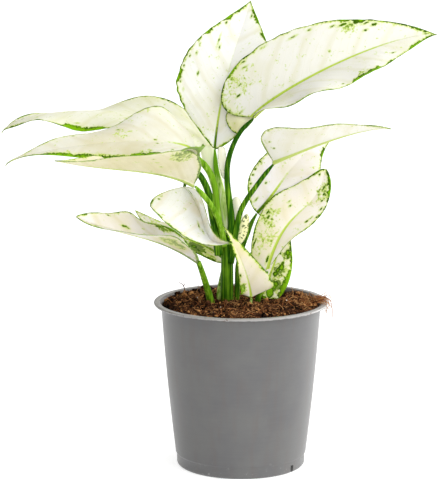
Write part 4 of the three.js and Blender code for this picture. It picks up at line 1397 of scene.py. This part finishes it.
def pot_section():
    """Radius and height of the pot's section, round from the middle of its underside."""
    foot_top = LEDGE_HEIGHT - FOOT_STEP
    foot_outer = BODY_FOOT_RADIUS - FOOT_STEP
    levels = np.linspace(LEDGE_HEIGHT + 0.5, BODY_TOP - 0.6, 24)
    lip = RIM_THICKNESS / 2
    return [
        (0, 0),
        (PAD_RADIUS - 0.3, 0),
        (PAD_RADIUS, 0.3),
        (PAD_RADIUS + RECESS_DRAFT, FOOT_FLOOR - WALL),
        (TOE_RADIUS - WALL - RECESS_DRAFT, FOOT_FLOOR - WALL),
        (TOE_RADIUS - WALL, 0),
        *arc(TOE_RADIUS, FOOT_ROUNDING, FOOT_ROUNDING, -90, 0, 8),
        (foot_outer, foot_top - 0.2),
        (foot_outer + 0.15, foot_top),
        (BODY_FOOT_RADIUS - 0.15, LEDGE_HEIGHT),
        (BODY_FOOT_RADIUS, LEDGE_HEIGHT + 0.2),
        *((body_radius(z), z) for z in levels),
        (BODY_TOP_RADIUS + 0.15, BODY_TOP - 0.2),
        (BODY_TOP_RADIUS + 0.6, BODY_TOP),
        *arc(RIM_RADIUS - lip, POT_HEIGHT - lip, lip, -90, 90, 9),
        (RIM_INNER_RADIUS + 0.3, POT_HEIGHT),
        (RIM_INNER_RADIUS, POT_HEIGHT - 0.15),
        (RIM_INNER_RADIUS - RIM_CHAMFER, POT_HEIGHT - RIM_CHAMFER),
        *((body_radius(z) - WALL, z) for z in levels[::-1]),
        (TOE_RADIUS - WALL / 2, FOOT_FLOOR),
        (PAD_RADIUS + RECESS_DRAFT - WALL / 2, FOOT_FLOOR),
        (PAD_RADIUS - WALL / 2, WALL),
        (0, WALL),
    ]


def turned_mesh(section, sides):
    """A section turned round the Z axis. Its first and last points lie on the axis."""
    ring = section[1:-1]
    angles = round_angles(sides)
    points = [(r * math.cos(a), r * math.sin(a), z) for r, z in ring for a in angles]
    faces = [list(f) for f in grid_faces(len(ring), sides, wrap=True)]
    bottom, top = len(points), len(points) + 1
    points += [(0, 0, section[0][1]), (0, 0, section[-1][1])]
    last = (len(ring) - 1) * sides
    for i in range(sides):
        following = (i + 1) % sides
        faces.append([bottom, following, i])
        faces.append([top, last + i, last + following])
    return points, faces


def notch_cutter(turn):
    """A box across the pot's foot, turned round the pot's axis."""
    x, y, z = NOTCH["depth"] / 2, NOTCH["width"] / 2, NOTCH["height"]
    corners = np.array([(i * x, j * y, k * z) for i in (-1, 1) for j in (-1, 1) for k in (-1, 1)])
    corners = corners + np.array((TOE_RADIUS, 0, 0))
    x, y, z = corners.T
    c, s = math.cos(turn), math.sin(turn)
    faces = [(0, 1, 3, 2), (4, 6, 7, 5), (0, 4, 5, 1), (2, 3, 7, 6), (0, 2, 6, 4), (1, 5, 7, 3)]
    return np.stack([x * c - y * s, x * s + y * c, z], -1), faces


def drain_cutter(turn):
    """A cylinder through the pot's floor."""
    centre = np.array((math.cos(turn), math.sin(turn))) * DRAIN["ring_radius"]
    points = [
        (centre[0] + DRAIN["radius"] * math.cos(a), centre[1] + DRAIN["radius"] * math.sin(a), z)
        for z in (FOOT_FLOOR - 2.5 * WALL, FOOT_FLOOR + 1.5 * WALL)
        for a in round_angles(DRAIN["sides"])
    ]
    return points, capped_faces(2, DRAIN["sides"])


def build_pot(material):
    """The pot, with notches cut into its foot and drain holes through its floor."""
    pot = make_piece("nursery_pot", *turned_mesh(pot_section(), POT_SIDES), material)
    notch_turns = (NOTCH["first_angle"] + 360 / NOTCH["count"] * i - 90 for i in range(NOTCH["count"]))
    drain_turns = ((i + 0.5) * 2 * math.pi / DRAIN["count"] for i in range(DRAIN["count"]))
    cutters = [notch_cutter(math.radians(turn)) for turn in notch_turns]
    cutters += [drain_cutter(turn) for turn in drain_turns]
    cutter = make_piece("pot_cutter", *joined(cutters), material)
    cut = pot.modifiers.new("openings", "BOOLEAN")
    cut.object = cutter
    cut.operation = "DIFFERENCE"
    cut.solver = "EXACT"
    graph = bpy.context.evaluated_depsgraph_get()
    finished = bpy.data.meshes.new_from_object(pot.evaluated_get(graph))
    pot.modifiers.clear()
    pot.data = finished
    bpy.data.objects.remove(cutter)
    pot.data.set_sharp_from_angle(angle=math.radians(SHARP_ANGLE))
    place(pot, "pot")


# ------------------------------------------------------------------ soil

SOIL_EDGE_LEVEL = SOIL_LEVEL - SOIL_HOLLOW["depth"] - SOIL_EDGE_DROP
SOIL_RADIUS = body_radius(SOIL_EDGE_LEVEL) - WALL - 0.15
SOIL_FLOOR_RADIUS = BODY_FOOT_RADIUS - WALL - 0.5


def soil_level(x, y):
    """The height of the soil at a place, without its lumps."""
    hollow_x, hollow_y = SOIL_HOLLOW["centre"]
    away = np.hypot(x - hollow_x, y - hollow_y) / SOIL_HOLLOW["radius"]
    sink = SOIL_HOLLOW["depth"] * np.clip(1 - away**2, 0, 1) ** 2
    return SOIL_LEVEL - sink


def soil_relief(points):
    """How far lumps, crumbs and grains stand over the soil at each point."""
    lumps = soft_noise(points, 7, 31)
    crumbs = np.abs(soft_noise(points, 2.4, 32))
    grains = np.abs(soft_noise(points, 0.9, 33))
    return 1.3 * lumps - 1.9 * (crumbs - 0.4) - 0.7 * (grains - 0.4)


def crumb(centre, size, rng):
    """An irregular lump of peat: a coarse ball pushed out of shape."""
    rows, columns = CRUMB_GRID
    ball = ball_points(rows, columns, 0.25) * rng.uniform(0.7, 1.25, (rows * columns, 1))
    stretch = rng.uniform(0.6, 1.3, 3) * size
    spin = np.linalg.qr(rng.normal(size=(3, 3)))[0]
    return (ball * stretch) @ spin + centre, capped_faces(rows, columns)


def strand(start, heading, kind, rng):
    """A thin wandering fibre."""
    length, radius = rng.uniform(*kind["length"]), rng.uniform(*kind["radius"])
    path = [np.array(start, float)]
    heading = unit(np.array(heading, float))
    sag = np.array((0, 0, kind["droop"]))
    for _ in range(STRAND_RINGS - 1):
        heading = unit(heading + rng.normal(scale=0.28, size=3) - sag)
        path.append(path[-1] + heading * length / (STRAND_RINGS - 1))
    return tube_mesh(np.array(path), radius * np.linspace(1, 0.45, STRAND_RINGS), STRAND_SIDES)


def twig(path, thickness, rings):
    """A fibre along a given path, which thins to half."""
    line, _ = smooth_path(path, rings)
    return tube_mesh(line, thickness * np.linspace(1, 0.5, rings), TWIG_SIDES)


class Heap:
    """Collects many small meshes into one, each with its look or one for each point."""

    def __init__(self):
        self.meshes = []
        self.looks = []

    def add(self, mesh, tone=0.0, recess_shade=0.0, white=0.0):
        looks = np.empty((len(mesh[0]), 3))
        looks[:, 0] = tone
        looks[:, 1] = recess_shade
        looks[:, 2] = white
        self.meshes.append(mesh)
        self.looks.append(looks)

    def piece(self, name, material):
        looks = {"soil_look": np.concatenate(self.looks)}
        return make_piece(name, *joined(self.meshes), material, looks)


def add_soil_body(heap):
    """The soil's lumpy top, and its plain sides down to its floor."""
    radii = SOIL_RADIUS * np.linspace(0.004, 1, SOIL_RINGS) ** 0.85
    angles = round_angles(SOIL_SPOKES)
    x = radii[:, None] * np.cos(angles)
    y = radii[:, None] * np.sin(angles)
    flat = np.stack([x, y, np.zeros_like(x)], -1)
    relief = soil_relief(flat)
    z = soil_level(x, y) + relief * smoothstep(SOIL_RADIUS, SOIL_RADIUS - 3, radii)[:, None]
    rings = [np.stack([x, y, z], -1).reshape(-1, 3)]
    for share in (0.66, 0.33, 0):
        radius = between(SOIL_FLOOR_RADIUS, SOIL_RADIUS, share)
        level = np.full(SOIL_SPOKES, between(SOIL_FLOOR, SOIL_EDGE_LEVEL, share))
        rings.append(np.stack([radius * np.cos(angles), radius * np.sin(angles), level], -1))
    points = np.concatenate(rings)
    tone, recess_shade = np.zeros((2, len(points)))
    tone[: x.size] = 0.25 * soft_noise(flat, 5, 40).ravel()
    # painted shade: darker where the relief lies low
    recess_shade[: x.size] = smoothstep(0.1, -1.1, relief).ravel()
    heap.add((points, capped_faces(len(points) // SOIL_SPOKES, SOIL_SPOKES)), tone, recess_shade)


def random_spot(rng, reach):
    """A place on the soil, evenly spread; reach is the share of its area that counts."""
    where = SOIL_RADIUS * math.sqrt(rng.uniform(0, reach))
    turn = rng.uniform(0, 2 * math.pi)
    return where * math.cos(turn), where * math.sin(turn)


def lay_strand(heap, x, y, kind, rng):
    """Adds a strand that lies on the soil, unless it would reach the pot's wall."""
    heading = (rng.normal(), rng.normal(), rng.uniform(*kind["rise"]))
    start = (x, y, soil_level(x, y) + rng.uniform(*kind["lift"]))
    mesh = strand(start, heading, kind, rng)
    if np.hypot(mesh[0][:, 0], mesh[0][:, 1]).max() < SOIL_RADIUS - 0.4:
        heap.add(mesh, rng.uniform(*kind["tone"]))


def build_soil(material, fibre):
    """The soil with crumbs and perlite on it, and the coir that lies over it."""
    rng = np.random.default_rng(7)
    heap = Heap()
    add_soil_body(heap)
    for _ in range(SOIL_CRUMBS["count"]):
        x, y = random_spot(rng, 0.985)
        size = rng.choice(SOIL_CRUMBS["sizes"], p=SOIL_CRUMBS["shares"]) * rng.uniform(0.7, 1.2)
        centre = (x, y, soil_level(x, y) + rng.uniform(-0.3, 0.9) * size)
        heap.add(crumb(centre, size, rng), rng.uniform(-0.8, 1))
    for x, y in PERLITE["places"]:
        centre = (x, y, soil_level(x, y) + 0.9)
        heap.add(crumb(centre, PERLITE["size"], rng), white=1)
    place(heap.piece("potting_soil_bed", material), "potting_soil")

    strands = Heap()
    for _ in range(SOIL_FIBRES["count"]):
        lay_strand(strands, *random_spot(rng, 0.97), SOIL_FIBRES, rng)
    for _ in range(COIR_PATCH["count"]):
        x, y = np.array(COIR_PATCH["centre"]) + rng.normal(size=2) * np.array(COIR_PATCH["spread"])
        lay_strand(strands, x, y, COIR_PATCH, rng)
    for path, thickness, tone in LOOSE_TWIGS:
        strands.add(twig(path, thickness, 14), tone)
    fibres = strands.piece("coir_fibres", fibre)
    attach(fibres, "root")


def build_clump(material):
    """The lump of peat at the back right, with crumbs and strands of its own."""
    rng = np.random.default_rng(11)
    centre, half_sizes = np.array(CLUMP["centre"]), np.array(CLUMP["half_sizes"])
    rows, columns = CLUMP["grid"]
    skin = ball_points(rows, columns, 0.05) * half_sizes
    rough = 1 + 0.1 * soft_noise(skin, 3.5, 51) - 0.14 * np.abs(soft_noise(skin, 1.4, 52))
    heap = Heap()
    heap.add((skin * rough[:, None] + centre, capped_faces(rows, columns)))
    for _ in range(CLUMP["crumbs"]):
        direction = unit(rng.normal(size=3) + np.array((0, -0.4, 0.5)))
        size = rng.uniform(0.4, 1.3)
        spot = centre + direction * half_sizes * 0.95
        heap.add(crumb(spot, size, rng), rng.uniform(-0.5, 0.7))
    for _ in range(CLUMP_STRANDS["count"]):
        direction = unit(rng.normal(size=3) + np.array((0, -0.3, 0.6)))
        start = centre + direction * half_sizes * 0.92
        heading = unit(np.cross(direction, rng.normal(size=3)) + 0.35 * direction)
        heap.add(strand(start, heading, CLUMP_STRANDS, rng), rng.uniform(*CLUMP_STRANDS["tone"]))
    place(heap.piece("peat_lump", material), "peat_clump")


def build_tuft(fibre):
    """Loose coir at the right that hangs over the rim."""
    rng = np.random.default_rng(21)
    heap = Heap()
    for _ in range(TUFT["count"]):
        start = np.array(TUFT["root"]) + rng.normal(size=3) * TUFT["spread"]
        heading = unit(np.array((1, rng.normal(scale=0.8), rng.normal(scale=0.35) + 0.25)))
        heap.add(strand(start, heading, TUFT, rng), rng.uniform(*TUFT["tone"]))
    for path, thickness, tone in TUFT["ends"]:
        heap.add(twig(path, thickness, 16), tone)
    place(heap.piece("loose_coir", fibre), "fibre_tuft")


# ------------------------------------------------------------------ the object

soil_look = soil_material()
fibre_look = fibre_material()
build_pot(pot_material())
build_soil(soil_look, fibre_look)
build_clump(soil_look)
build_tuft(fibre_look)

stalk_looks = {slot: stalk_material(slot, *tones) for slot, tones in STALK_TONES.items()}
build_stalk(
    "main_stem",
    STEM["points"],
    STEM["radii"],
    stalk_looks["stalk_green"],
    STEM["lightness"],
    taper=False,
)
for number, (name, leaf) in enumerate(LEAVES.items()):
    look = leaf_material(name, *LEAF_TONES[name])
    blade = build_blade(name, leaf, MARKS[name], look, LEAF_SEED + SEED_STEP * number)
    place(blade, name + "_blade")
    slot = "stalk_pale" if name in PALE_STALKS else "stalk_green"
    build_stalk(
        name + "_stalk",
        leaf["stalk"],
        leaf["stalk_radii"],
        stalk_looks[slot],
        STALK_LIGHTNESS.get(name, (0, 0)),
        taper=name not in BROAD_STALKS,
    )
for number, (name, leaf) in enumerate(SCALES.items()):
    slot, body, dry, spotted = SCALE_LOOKS[name]
    look = scale_material(name, body, dry, spotted)
    blade = build_blade(name + "_skin", leaf, {}, look, SCALE_SEED + SEED_STEP * number)
    place(blade, name)
flap_look = leaf_material(FLAP_NAME, *FLAP_TONES)
flap_seed = SCALE_SEED + SEED_STEP * len(SCALES)
flap = build_blade(FLAP_NAME + "_skin", FLAP, FLAP_MARKS, flap_look, flap_seed)
place(flap, FLAP_NAME)

# ------------------------------------------------------------------ the stage


def build_floor():
    """A white light table, so that the ground under the pot stays plain."""
    side = FLOOR_HALF_SIDE
    corners = [(-side, -side, 0), (side, -side, 0), (side, side, 0), (-side, side, 0)]
    m = Shades(bpy.data.materials.new("floor"))
    look = m.finish(
        Base_Color=(0.5, 0.5, 0.5, 1),
        Roughness=0.95,
        Specular_IOR_Level=0,
        Emission_Color=(1, 1, 1, 1),
        Emission_Strength=0.75,
    )
    floor = make_piece("floor", corners, [(0, 1, 2, 3)], look)


def build_world():
    """A white tent, brighter at the upper right front than at the lower left, with a dark
    panel standing to the left."""
    world = bpy.data.worlds.new("studio")
    bpy.context.scene.world = world
    w = Shades(world)
    direction = w.node("ShaderNodeTexCoord").outputs["Generated"]

    def facing(axis):
        dot = w.node("ShaderNodeVectorMath", operation="DOT_PRODUCT")
        w.feed(dot.inputs[0], direction)
        w.feed(dot.inputs[1], axis)
        return dot.outputs["Value"]

    level = w.math("MULTIPLY_ADD", facing(TENT_BRIGHT_SIDE), TENT_CONTRAST, TENT_LEVEL)
    panel = w.step(facing(PANEL_SIDE), *PANEL_EDGES, 1, PANEL_LEVEL)
    background = w.tree.nodes["Background"]
    w.feed(background.inputs["Color"], (1, 1, 1, 1))
    w.feed(background.inputs["Strength"], w.times(level, panel))


def add_light(name, spot, aim, size, watts):
    """A rectangular lamp; its spot, the point it aims at and its size in millimetres."""
    data = bpy.data.lights.new(name, "AREA")
    data.shape = "RECTANGLE"
    data.size, data.size_y = (s * MM for s in size)
    data.energy = watts
    lamp = bpy.data.objects.new(name, data)
    bpy.context.scene.collection.objects.link(lamp)
    spot, aim = Vector(spot) * MM, Vector(aim) * MM
    lamp.location = spot
    lamp.rotation_euler = (aim - spot).to_track_quat("-Z", "Y").to_euler()


def build_camera():
    """The camera, far in front and tilted a little down."""
    data = bpy.data.cameras.new("camera")
    data.sensor_fit = "VERTICAL"
    data.sensor_height = SENSOR
    data.lens = FOCAL_PIXELS / FRAME_HEIGHT * SENSOR
    data.clip_end = 100
    camera = bpy.data.objects.new("camera", data)
    bpy.context.scene.collection.objects.link(camera)
    tilt = math.radians(CAMERA_ELEVATION)
    away = Vector((0, -math.cos(tilt), math.sin(tilt))) * CAMERA_DISTANCE * MM
    camera.location = Vector(CAMERA_TARGET) * MM + away
    camera.rotation_euler = (-away).to_track_quat("-Z", "Y").to_euler()
    bpy.context.scene.camera = camera


build_floor()
build_world()
for name, lamp in LIGHTS.items():
    add_light(name, **lamp)
build_camera()
bpy.context.scene.view_settings.view_transform = "Standard"
